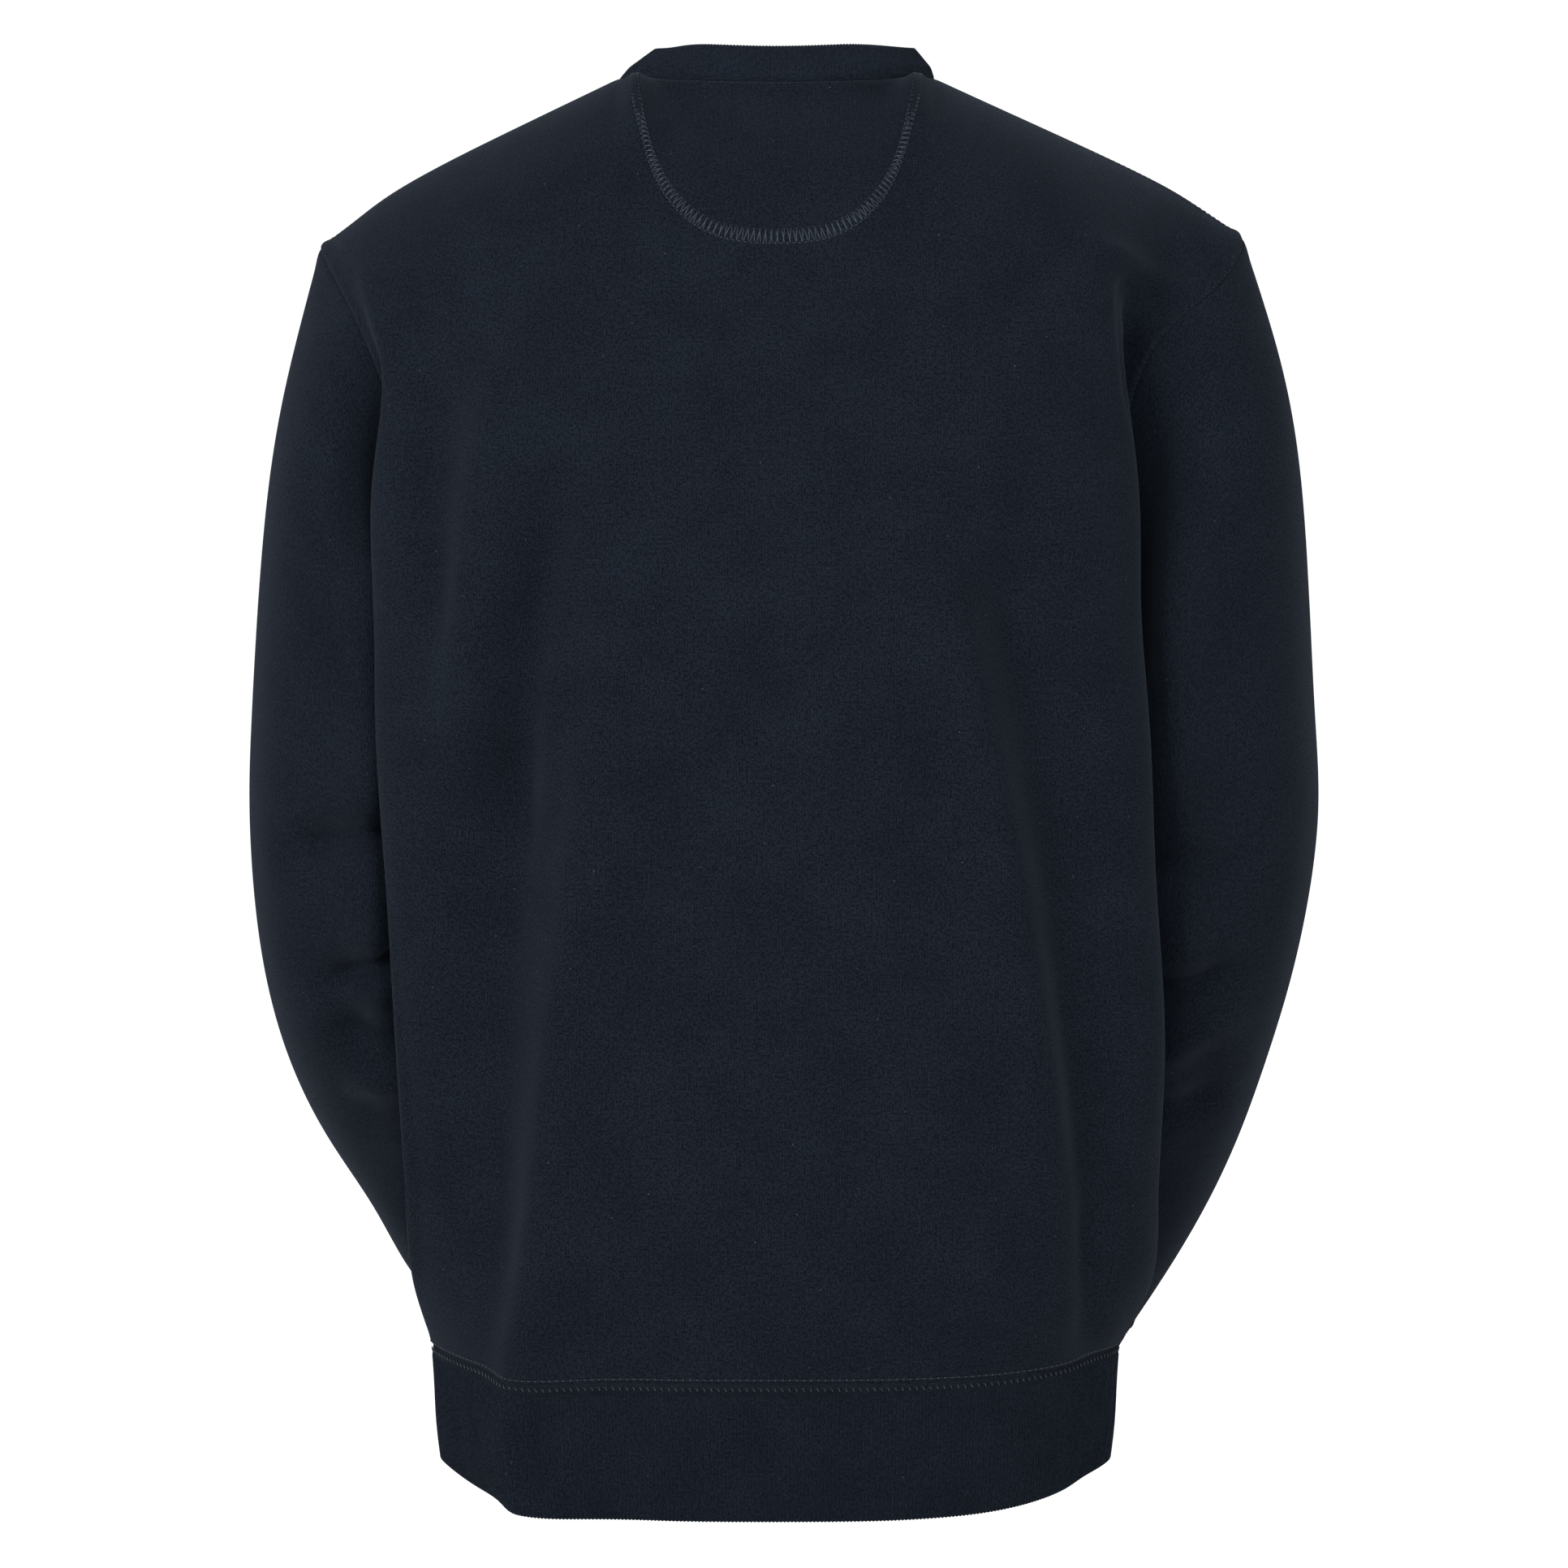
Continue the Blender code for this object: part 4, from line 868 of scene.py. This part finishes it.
def sleeve_net(side):
    """Rings of eight net points from the armhole to the cuff's end."""
    start_ring = armhole(0 if side == "left" else -1, np.arange(8))
    angles = np.arange(8) * np.pi / 4
    rings = []
    for (centre, out, back), share in zip(ring_frames(side), RING_SHARES):
        fullness = 1 + share * np.array(RING_FULLNESS)
        spokes = np.outer(np.cos(angles), out) + np.outer(np.sin(angles), back)
        rings.append(centre + spokes * fullness[:, None])
    leaning = (CAP_LEAN[side], *CAP_SLANT)
    cap = []
    for share in CAP_RINGS:
        ring = []
        for k, (start, end) in enumerate(zip(start_ring, rings[0])):
            reach = CAP_PULL * np.linalg.norm(end - start)
            spread = CAP_SPREAD * np.sin(angles[k]) if k in (1, 2, 6, 7) else 0
            leave = np.array((SIDES[side] * leaning[k], spread, -np.sqrt(1 - leaning[k] ** 2)))
            arrive = unit(rings[1][k] - rings[0][k])
            ring.append(hermite(start, reach * leave, end, reach * arrive, share))
        cap.append(np.array(ring))
    return [start_ring] + cap + rings


def sleeve_rings(side, around):
    """The sleeve's net rings at many places, how far along each is, and the cuff seam's ring."""
    net = sleeve_net(side)
    dense, plain = (
        np.array([ring_spline(np.arange(8), 8, ring, places) for ring in net])
        for places in (np.mod(around, 8), np.arange(0, 8, 0.25))
    )
    return dense, lengths_along(plain.mean(axis=1), 0), len(net) - 1 - CUFF_ROWS


SLEEVE_AROUND = 160
SLEEVE_STEP = 0.0032
SLEEVE_CALM = 0.060
GATHERS = 22
GATHER_HEIGHT = 0.0009
GATHER_REACH = (0.045, 0.004)
GATHER_HELD = 0.003
UNDERARM = 4


def shaped_sleeve(side):
    """A sleeve's cloth from the armhole to the cuff seam, its grid closing at the underarm seam."""
    around = np.arange(SLEEVE_AROUND + 1) / SLEEVE_AROUND
    dense, knots, seam = sleeve_rings(side, UNDERARM + 8 * around)
    turn = -SIDES[side]
    rows = closer_at_seams(knots[seam], SLEEVE_STEP)
    points = spline(knots, dense, rows)
    points[:, -1] = points[:, 0]
    normals = outward(points, turn, True)
    left = knots[seam] - rows
    calm = (smooth(0, knots[2], rows) * smooth(0, SLEEVE_CALM, left))[:, None]
    raised = relief(points, normals, SLEEVE_FOLDS + SLEEVE_CREASES, 1)
    points = points + normals * (raised * calm)[..., None]
    normals = outward(points, turn, True)
    angle = 2 * np.pi * around

    # The gathers come unevenly, both in their places and in their heights
    gathers = np.sin(GATHERS * angle + 0.9 * np.sin(3 * angle)) * (0.7 + 0.3 * np.sin(5 * angle))
    above_cuff = smooth(*GATHER_REACH, left) * smooth(0, GATHER_HELD, left)
    gathered = GATHER_HEIGHT * gathers[None, :] * above_cuff[:, None]
    across = lengths_along(points, 1)
    from_underarm = np.minimum(across, across[:, -1:] - across)
    rolls = seam_roll(rows, height=0.0004)[:, None] + seam_roll(left, height=0.0010)[:, None]
    rolls = rolls + seam_roll(from_underarm, height=0.0006)
    points = points + normals * (gathered + rolls)[..., None]
    points[:, -1] = points[:, 0]
    return points


for side, sign in SIDES.items():
    cloth["sleeve_" + side] = shaped_sleeve(side)
    sleeve_middle = draw_in(cloth["sleeve_" + side], BOTH_ENDS)
    sleeve = lay_cloth("sleeve_" + side + "_cloth", sleeve_middle, -sign, closed_across=True)
    give_thickness(sleeve, FLEECE)
    sleeve.data.materials.append(fleece)
    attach(sleeve, "root")
    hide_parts("sleeve_" + side)

# ----------------------------------------------------------------------
# Hem band: one strip of one-by-one rib, folded along its lower edge and joined into a ring, which
# draws the body in a little at the hips. Each knit wale stands up between two sunken ones.
RIB = 0.0028
RIB_COLUMNS = 4
HEM_RIBS = 520
HEM_ROWS = 11
HEM_RIDGE = 0.00028

# How far from its seam a band has its full thickness, and its ribs their full height
BAND_SWELLS = 0.0028
RIBS_RISE = 0.0022

# The band's middle surface below its seam: its share of the seam's girth, how far down, and how
# much lower its middle hangs at the back
HEM = table(
    "share drop droop",
    (0.992, 0.020, 0.012),
    (0.986, 0.040, 0.016),
    (0.974, 0.058, 0.019),
)

# Soft folds that the band's left end takes from the cloth above it, and how much of the band's
# height they take to fade at its seam and at its free edge
HEM_CALM = 0.25
HEM_FOLDS = table(
    FOLD_COLUMNS,
    (0.1300, -0.620, 0.1330, -0.682, 0.1500, -0.745, 0.0130, 0.0062, 0.45),
    (0.1220, -0.650, 0.1170, -0.690, 0.1240, -0.740, 0.0090, -0.0022, 0.00),
    (0.1730, -0.640, 0.1600, -0.668, 0.1480, -0.700, 0.0030, 0.0012, 0.00),
)


def all_round(back, front):
    """A row of the back and one of the front as one closed ring, beginning at the left side."""
    return np.concatenate([back, front[-2::-1]])


def even_ring(ring, count):
    """Shares of the way round a closed ring (last point on the first), for evenly spaced points."""
    length = lengths_along(ring, 0)
    return np.interp(np.linspace(0, length[-1], count + 1), length, np.arange(len(ring)))


def at_places(rows, at):
    """Each row of points read at fractional places along it."""
    low = np.clip(np.floor(at).astype(int), 0, rows.shape[1] - 2)
    return mix(rows[:, low], rows[:, low + 1], (at - low)[None, :, None])


def folded_rib(name, rings, first_normals, turn, ridge_height, columns=RIB_COLUMNS):
    """A strip of rib folded in half: from the seam down to its free edge, and back inside."""
    normals = outward(rings, turn, True)
    normals[0] = first_normals
    half = RIB / 2
    from_seam = lengths_along(rings, 0)
    swell = mix(SEAM_THICKNESS / 2, half, smooth(0, BAND_SWELLS, from_seam))[..., None]
    ridge = ridge_height * np.cos(2 * np.pi * np.arange(rings.shape[1]) / columns)[:, None]
    wall = normals * (swell + ridge * smooth(0, RIBS_RISE, from_seam)[..., None])
    beyond = unit(rings[-1] - rings[-2])
    fold = [
        rings[-1] + (half + ridge) * (np.cos(angle) * normals[-1] + np.sin(angle) * beyond)
        for angle in np.pi * np.array((0.25, 0.5, 0.75))
    ]
    skin = np.concatenate([rings + wall, fold, (rings - wall)[::-1], (rings + wall)[:1]])
    skin[:, -1] = skin[:, 0]
    return lay_cloth(name, skin, turn, closed_across=True, closed_up=True)


def hem_rings(count, rows):
    """The hem band's middle surface from its seam down, and the normals on the seam."""
    back, front = cloth["back"], cloth["front"]
    seam = all_round(back[0], front[0])
    body_normals = all_round(outward(back, 1, False)[0], outward(front, -1, False)[0])
    plain = all_round(net_row("back", 0, COLUMNS), net_row("front", 0, COLUMNS))
    half = np.abs(plain[:, 0]).max()
    middle = 1 - (plain[:, 0] / half) ** 4
    toward_back = smooth(-0.02, 0.08, plain[:, 1])
    rings = [seam]
    for row in HEM:
        ring = seam * (row["share"], row["share"], 1)
        ring[:, 2] -= row["drop"] + (row["droop"] - BODY[0]["droop"]) * middle * toward_back
        rings.append(ring)
    knots = np.concatenate([[0], [row["drop"] for row in HEM]])
    whole = spline(knots, np.array(rings), np.linspace(0, knots[-1], rows))
    at = even_ring(seam, count)
    band = at_places(whole, at)
    normals = outward(band, -1, True)
    down = np.linspace(0, 1, rows)[:, None]
    calm = smooth(0, HEM_CALM, down) * smooth(1, 1 - HEM_CALM, down)
    band = band + normals * (relief(band, normals, HEM_FOLDS, 1) * calm)[..., None]
    band[:, -1] = band[:, 0]
    return band, at_places(body_normals[None], at)[0]


rib = knit_material(
    "navy_rib",
    dark=(0.0014, 0.0028, 0.0060),
    light=(0.0110, 0.0150, 0.0222),
    wale=0.00100,
    course=0.00110,
    bump=0.00014,
    sheen=0.06,
)
rings, seam_normals = hem_rings(HEM_RIBS * RIB_COLUMNS, HEM_ROWS)
cloth["hem"] = rings
hem_band = folded_rib("hem_band_rib", rings, seam_normals, -1, HEM_RIDGE)
hem_band.data.materials.append(rib)
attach(hem_band, "root")
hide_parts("hem_band")

# ----------------------------------------------------------------------
# Cuffs: a short folded tube of the same rib at each wrist, holding the sleeve's gathered end.
CUFF_AROUND = 400
CUFF_LEVELS = 9
CUFF_RIBS = 96
CUFF_RIB_COLUMNS = 6
CUFF_RIDGE = 0.00030
for side, sign in SIDES.items():
    around = np.arange(CUFF_AROUND + 1) / CUFF_AROUND
    dense, knots, seam = sleeve_rings(side, UNDERARM + 8 * around)
    down_cuff = np.linspace(0, knots[-1] - knots[seam], CUFF_LEVELS)
    whole = spline(knots, dense, knots[seam] + down_cuff)
    whole[0] = dense[seam]
    rings = at_places(whole, even_ring(whole[0], CUFF_RIBS * CUFF_RIB_COLUMNS))
    rings[:, -1] = rings[:, 0]
    cloth["cuff_" + side] = rings
    normals = outward(rings, -sign, True)[0]
    cuff = folded_rib(
        "cuff_" + side + "_rib", rings, normals, -sign, CUFF_RIDGE, columns=CUFF_RIB_COLUMNS
    )
    cuff.data.materials.append(rib)
    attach(cuff, "root")
    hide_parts("cuff_" + side)

# ----------------------------------------------------------------------
# Collar: a folded strip of finer rib sewn round the neck, a little shorter than the neck so that it
# stands up behind and leans inwards at the sides. The seam's turnings press a ridge half way up it.
NECK_RIBS = 276
NECK_RIDGE = 0.00022

# How far the collar swells half way up, and the ridge of the turnings: height, place and width
NECK_SWELL = 0.0012
TURNINGS = {"height": 0.0006, "place": 0.42, "width": 0.14}
neck_columns = np.linspace(*NECK_KNOTS, 241)
top_row = len(ROW_KNOTS) - 1
seam = all_round(*(net_row(face, top_row, neck_columns) for face in NETS))
top = np.array([band_top(point) for point in seam])
away = unit((seam - seam.mean(axis=0)) * (1, 1, 0))
collar_rows = np.linspace(0, 1, 13)
swollen = mix(seam, top, 0.5) + NECK_SWELL * away
whole = spline((0, 0.5, 1), np.array([seam, swollen, top]), collar_rows)
up_ridge = (collar_rows - TURNINGS["place"]) / TURNINGS["width"]
whole = whole + away[None] * (TURNINGS["height"] * np.exp(-(up_ridge**2)))[:, None, None]
rings = at_places(whole, even_ring(seam, NECK_RIBS * RIB_COLUMNS))
rings[:, -1] = rings[:, 0]
collar = folded_rib("collar_rib", rings, outward(rings, 1, True)[0], 1, NECK_RIDGE)
collar_knit = knit_material(
    "navy_collar_rib",
    dark=(0.0018, 0.0034, 0.0070),
    light=(0.0136, 0.0184, 0.0268),
    wale=0.00090,
    course=0.00100,
    bump=0.00014,
    sheen=0.06,
)
collar.data.materials.append(collar_knit)
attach(collar, "root")
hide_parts("neck_band")

# ----------------------------------------------------------------------
# Half-moon: a piece of lighter jersey lying inside the back of the neck, under the back panel, cut
# to a deep curve and held by the wide cover stitch round its edge and by the collar seam.
FACING = 0.0014
MOON_SINK = 0.0030
MOON_TOP = 0.0025
MOON_COLUMNS = 61
MOON_ROWS = 45


def read_at(at, length, values):
    """Values known at the distances in `length` along a line, read at other distances."""
    return np.stack([np.interp(at, length, column) for column in values.T], axis=-1)


def on_back(along_neck, down):
    """Points and normals on the back panel, that far along the neck seam and down the cloth."""
    points = cloth["back"]
    row_x = points[-1, :, 0]
    column = np.interp(-along_neck, -row_x, np.arange(len(row_x)))
    found, facing_out = [], []
    paths, outs = (
        at_places(grid, column)[::-1].transpose(1, 0, 2)
        for grid in (points, outward(points, 1, False))
    )
    for distance, path, out in zip(down, paths, outs):
        length = lengths_along(path, 0)
        found.append(read_at(distance, length, path))
        facing_out.append(read_at(distance, length, out))
    return np.array(found), unit(np.array(facing_out))


# Its columns stand closer towards both ends, and end just inside the outline
MOON_BEND = 1.35
MOON_INSIDE = 0.985
shares = np.sin(np.linspace(1, -1, MOON_COLUMNS) * MOON_BEND) / np.sin(MOON_BEND) * MOON_INSIDE
grid = []
for share in shares:
    deep = MOON_DEEP * (1 - abs(share) ** MOON_SQUARENESS) ** (1 / MOON_SQUARENESS)
    down = np.linspace(deep, MOON_TOP, MOON_ROWS)
    points, normals = on_back(np.full(MOON_ROWS, share * MOON_HALF), down)
    grid.append(points - MOON_SINK * normals)
facing = lay_cloth("neck_facing_cloth", np.array(grid).transpose(1, 0, 2), 1)
give_thickness(facing, FACING)
jersey = knit_material(
    "navy_jersey",
    dark=(0.0014, 0.0027, 0.0058),
    light=(0.0108, 0.0148, 0.0218),
    wale=0.00125,
    course=0.00105,
    bump=0.00018,
    sheen=0.05,
)
facing.data.materials.append(jersey)
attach(facing, "root")
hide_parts("neck_facing")

# ----------------------------------------------------------------------
# Stitches: polyester thread a little lighter than the cloth. Cover stitches hold the half-moon and
# the turnings beside the armholes, and plain rows run beside the hem, cuff, collar and shoulder
# seams.
# Short dark loops at the needle holes are painted shade, where the thread goes into the cloth.
bpy.ops.object.select_all(action="DESELECT")
bpy.ops.mesh.primitive_uv_sphere_add(segments=6, ring_count=5, radius=1, location=(0, 0, 0))
loop_shape = bpy.context.object
loop_points = np.array([v.co[:] for v in loop_shape.data.vertices])
loop_faces = sorted(tuple(face.vertices) for face in loop_shape.data.polygons)
bpy.data.objects.remove(loop_shape, do_unlink=True)


def thread_material(name, dark, light):
    """Twisted thread, whose colour varies along it."""
    material = bpy.data.materials.new(name)
    material.use_nodes = True
    tree = material.node_tree
    place = add_node(tree, "ShaderNodeTexCoord", {}).outputs["Object"]
    twist = add_node(tree, "ShaderNodeTexNoise", {"Vector": place, "Scale": 900, "Detail": 2})
    look = {
        "Base Color": mixed(tree, twist.outputs["Fac"], (*dark, 1), (*light, 1)),
        "Roughness": 0.55,
        "Specular IOR Level": 0.25,
        "Sheen Weight": 0.08,
        "Sheen Roughness": 0.35,
    }
    feed(tree, tree.nodes["Principled BSDF"], look)
    return material


thread = thread_material(
    "navy_thread", dark=(0.0190, 0.0260, 0.0380), light=(0.0530, 0.0660, 0.0880)
)
# Darker thread for the armhole and collar rows, also used as painted shade at the needle holes
dark_thread_and_shade = thread_material(
    "navy_dark_thread_and_shade", dark=(0.0016, 0.0026, 0.0048), light=(0.0070, 0.0100, 0.0155)
)


# How far along its row a crossing thread of a cover stitch ends, in pitches
THREAD_SLANT = 0.35


def sew(name, starts, ends, normals, thick, material=thread):
    """One object of all the loops of thread between the starts and the ends."""
    run = ends - starts
    length = np.linalg.norm(run, axis=1)[:, None]
    run = run / length
    side = unit(np.cross(normals, run))
    up = np.cross(run, side)
    x, y, z = loop_points.T
    points = (
        ((starts + ends) / 2)[:, None]
        + (run * length / 2)[:, None] * z[None, :, None]
        + side[:, None] * thick / 2 * x[None, :, None]
        + up[:, None] * thick / 2 * y[None, :, None]
    )
    count = len(loop_points)
    faces = [tuple(v + k * count for v in face) for k in range(len(points)) for face in loop_faces]
    mesh = bpy.data.meshes.new(name)
    mesh.from_pydata(points.reshape(-1, 3).tolist(), [], faces)
    mesh.shade_smooth()
    mesh.materials.append(material)
    piece = bpy.data.objects.new(name, mesh)
    bpy.context.scene.collection.objects.link(piece)
    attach(piece, "root")
    return piece


def even_line(line, normals, pitch):
    """Points and normals an even pitch apart along a line."""
    length = lengths_along(line, 0)
    at = np.linspace(0, length[-1], max(2, round(length[-1] / pitch)) + 1)
    return read_at(at, length, line), unit(read_at(at, length, normals))


def beside(points, normals, distance, from_first=True):
    """The line on a grid of cloth that runs `distance` from its first row, or from its last."""
    way = 1 if from_first else -1
    length = lengths_along(points[::way], 0)
    return [
        np.array([read_at(distance, length[:, c], grid[::way, c]) for c in range(grid.shape[1])])
        for grid in (points, normals)
    ]


def plain_row(line, normals, pitch, stitch, off):
    """A row of lockstitches: one loop each pitch, the thread going under between them."""
    points, out = even_line(line, normals, pitch)
    points = points + out * off
    gap = (points[1:] - points[:-1]) * (1 - stitch) / 2
    return points[:-1] + gap, points[1:] - gap, mix(out[:-1], out[1:], 0.5)


def needle_shade_row(line, normals, pitch, stitch, off):
    """Painted shade at the needle holes of a row: short dark loops where the thread goes into the
    cloth.
    """
    points, out = even_line(line, normals, pitch)
    run = np.gradient(points, axis=0) * stitch / 2
    return points + out * off - run, points + out * off + run, out


def cover_row(inner, inner_out, outer, pitch, off):
    """Loops of a cover stitch, laid slanting across from one needle row to the other."""
    inner_length = lengths_along(inner, 0)
    outer_length = lengths_along(outer, 0)
    at = np.linspace(0, 1, max(2, round(inner_length[-1] / pitch)) + 1)
    out = unit(read_at(at, inner_length / inner_length[-1], inner_out))
    near = read_at(at, inner_length / inner_length[-1], inner) + out * off
    far = read_at(at, outer_length / outer_length[-1], outer) + out * off
    slant = THREAD_SLANT * (far[1:] - far[:-1])
    return near[:-1], far[:-1] + slant, out[:-1]


def joined(rows):
    """Several rows of loops as one."""
    return [np.concatenate([row[k] for row in rows]) for k in range(3)]


# How high above the middle of the cloth a loop of thread lies
OFF = FLEECE / 2 + 0.00010
RIB_OFF = RIB / 2 + 0.00010

# Round the half-moon: the band is wide along the bottom and narrow up the sides. It starts below
# the collar seam, and its needle rows show as plain rows only round the bottom.
MOON_PITCH = 0.0030
MOON_STITCH = 0.46
MOON_THREAD = 0.00056
MOON_BAND_SIDES = 0.0020
MOON_BAND_BOTTOM = 0.0037
MOON_BAND_STARTS = 0.0100
MOON_ROWS_START = 0.048
line = moon_line(161)
down = line[:, 1]
middle_of_moon = np.array((0.0, 0.030))
along = np.gradient(line, axis=0)
inside = unit(np.stack([-along[:, 1], along[:, 0]], axis=-1))
inside *= np.sign(((middle_of_moon - line) * inside).sum(axis=1))[:, None]
band_half = mix(MOON_BAND_SIDES, MOON_BAND_BOTTOM, smooth(0.05, 0.092, down))[:, None]
kept = down > MOON_BAND_STARTS
low = down[kept] > MOON_ROWS_START
inner_line, inner_out = on_back(*(line + inside * band_half)[kept].T)
outer_line, outer_out = on_back(*(line - inside * band_half)[kept].T)
needle_rows = (inner_line, inner_out), (outer_line, outer_out)
loops = [plain_row(row[low], out[low], MOON_PITCH, MOON_STITCH, OFF) for row, out in needle_rows]
loops.append(cover_row(inner_line, inner_out, outer_line, MOON_PITCH, OFF))
loops.append(cover_row(outer_line, outer_out, inner_line, MOON_PITCH, OFF))
sew("half_moon_stitches", *joined(loops), thick=MOON_THREAD)
# Painted shade: short dark loops at the needle holes of both rows
shade_loops = [needle_shade_row(row, out, MOON_PITCH, MOON_STITCH, OFF) for row, out in needle_rows]
sew("half_moon_needle_shade", *joined(shade_loops), thick=0.00080, material=dark_thread_and_shade)

# Beside the armholes, on the body's side of the seam
ARMHOLE_PITCH = 0.0028
ARMHOLE_NEEDLES = (0.0008, 0.0036)
panels = (
    (cloth["back"], outward(cloth["back"], 1, False)),
    (cloth["front"], outward(cloth["front"], -1, False)),
)
top_rows = ROWS > ROW_KNOTS[ARMPIT_ROW] - 0.002
for side in SIDES:
    needle_rows = []
    for distance in ARMHOLE_NEEDLES:
        over_back, over_front = (
            beside(points.transpose(1, 0, 2), out.transpose(1, 0, 2), distance, side == "left")
            for points, out in panels
        )
        needle_rows.append(
            [
                np.concatenate([back[top_rows][::-1], front[top_rows]])
                for back, front in zip(over_back, over_front)
            ]
        )
    (near, near_out), (far, _) = needle_rows
    rows = cover_row(near, near_out, far, ARMHOLE_PITCH, OFF)
    sew("armhole_" + side + "_stitches", *rows, thick=0.00050, material=dark_thread_and_shade)

# Along the hem seam: a plain row above it, and cover stitch on the band below it
HEM_PITCH = 0.0035
HEM_STITCH = 0.46
# How much of each pitch the painted shade at a needle hole covers
HEM_SHADE_SHARE = 0.50
HEM_NEEDLES = (0.0020, 0.0036)
ROW_FROM_SEAM = 0.0024
over = [beside(points, out, ROW_FROM_SEAM) for points, out in panels]
under = [beside(cloth["hem"], outward(cloth["hem"], -1, True), at) for at in HEM_NEEDLES]
loops = [plain_row(*row, HEM_PITCH, HEM_STITCH, OFF) for row in over]
loops.append(cover_row(*under[0], under[1][0], HEM_PITCH, RIB_OFF))
sew("hem_stitches", *joined(loops), thick=0.00062)
# Painted shade: short dark loops at the needle holes beside the hem seam
shade_loops = [needle_shade_row(*row, HEM_PITCH, HEM_SHADE_SHARE, OFF) for row in over]
shade_loops.append(needle_shade_row(*under[0], HEM_PITCH, HEM_SHADE_SHARE, RIB_OFF))
sew("hem_needle_shade", *joined(shade_loops), thick=0.00075, material=dark_thread_and_shade)

# Round the cuff seams, on the sleeve and on the rib
for side, sign in SIDES.items():
    loops = []
    for name, distance, from_first, off in (
        ("sleeve_" + side, ROW_FROM_SEAM, False, OFF),
        ("cuff_" + side, 0.0030, True, RIB / 2 + 0.0002),
    ):
        points = cloth[name]
        row = beside(points, outward(points, -sign, True), distance, from_first)
        loops.append(plain_row(*row, HEM_PITCH, stitch=0.62, off=off))
    sew("cuff_" + side + "_stitches", *joined(loops), thick=0.00052)

# Round the neck, just below the collar seam, and along the shoulder seams
NECK_PITCH = 0.0030
neck = (COLUMNS > NECK_KNOTS[0]) & (COLUMNS < NECK_KNOTS[1])
shoulders = {"left": COLUMNS < NECK_KNOTS[0], "right": COLUMNS > NECK_KNOTS[1]}
loops = {"collar": [], "left": [], "right": []}
for points, normals in panels:
    line, out = beside(points, normals, 0.0009, from_first=False)
    row = plain_row(line[neck], out[neck], NECK_PITCH, stitch=0.80, off=FLEECE / 2)
    loops["collar"].append(row)
    line, out = beside(points, normals, 0.0022, from_first=False)
    for side, chosen in shoulders.items():
        row = plain_row(line[chosen], out[chosen], NECK_PITCH, stitch=0.66, off=OFF)
        loops[side].append(row)
sew("collar_stitches", *joined(loops["collar"]), thick=0.00060, material=dark_thread_and_shade)
for side in SIDES:
    sew("shoulder_" + side + "_stitches", *joined(loops[side]), thick=0.00036)

# ----------------------------------------------------------------------
# Studio: a plain pale floor under the hanging sweatshirt, a bright even room, and large soft lights
# on both sides, the one on the wearer's left a little stronger.
WHITE = (1, 1, 1, 1)
FLOOR_Z = -0.800
FLOOR_GREY = (0.80, 0.80, 0.80, 1)
FLOOR_GLOW = 0.74
ROOM_LIGHT = 0.42
ROOM_SEEN = 1.05
bpy.ops.object.select_all(action="DESELECT")
bpy.ops.mesh.primitive_plane_add(size=60, location=(0, 0, FLOOR_Z))
floor = bpy.context.object
floor.name = "studio_floor"
pale = bpy.data.materials.new("pale_floor")
pale.use_nodes = True
tree = pale.node_tree
seen = add_node(tree, "ShaderNodeLightPath", {}).outputs["Is Camera Ray"]
glow = add_node(tree, "ShaderNodeMath", {0: seen, 1: FLOOR_GLOW}, operation="MULTIPLY")
matt = {
    "Base Color": FLOOR_GREY,
    "Roughness": 0.9,
    "Emission Color": WHITE,
    "Emission Strength": glow.outputs[0],
}
feed(tree, tree.nodes["Principled BSDF"], matt)
floor.data.materials.append(pale)

world = bpy.data.worlds.new("bright_room")
world.use_nodes = True
room = world.node_tree
seen = add_node(room, "ShaderNodeLightPath", {}).outputs["Is Camera Ray"]
levels = {"Value": seen, "To Min": ROOM_LIGHT, "To Max": ROOM_SEEN}
level = add_node(room, "ShaderNodeMapRange", levels).outputs["Result"]
feed(room, room.nodes["Background"], {"Color": WHITE, "Strength": level})
bpy.context.scene.world = world

LIGHTS = table(
    "name x y z size power",
    ("key", 1.9, 2.7, 0.6, 1.6, 74),
    ("fill", -0.4, 3.2, 0.3, 2.4, 39),
    ("left_edge", 2.3, 0.3, 0.1, 1.4, 2),
    ("right_edge", -2.3, 0.8, 0.1, 1.4, 11),
    ("top", 0.0, 0.8, 1.9, 1.6, 4),
)
LIT_POINT = Vector((0, 0, -0.36))
for row in LIGHTS:
    place = Vector((row["x"], row["y"], row["z"]))
    bpy.ops.object.light_add(type="AREA", location=place)
    lamp = bpy.context.object
    lamp.name = row["name"] + "_light"
    lamp.data.size = row["size"]
    lamp.data.energy = row["power"]
    lamp.rotation_euler = (LIT_POINT - place).to_track_quat("-Z", "Y").to_euler()

CAMERA_AWAY = 2.6
CAMERA_AT = (-0.0038, CAMERA_AWAY, -0.364)
VIEW_WIDTH = 0.8114
SENSOR_WIDTH = 36
bpy.ops.object.camera_add(location=CAMERA_AT, rotation=(np.pi / 2, 0, np.pi))
camera = bpy.context.object
camera.data.sensor_width = SENSOR_WIDTH
camera.data.lens = SENSOR_WIDTH * CAMERA_AWAY / VIEW_WIDTH
bpy.context.scene.camera = camera
bpy.context.scene.view_settings.view_transform = "Standard"
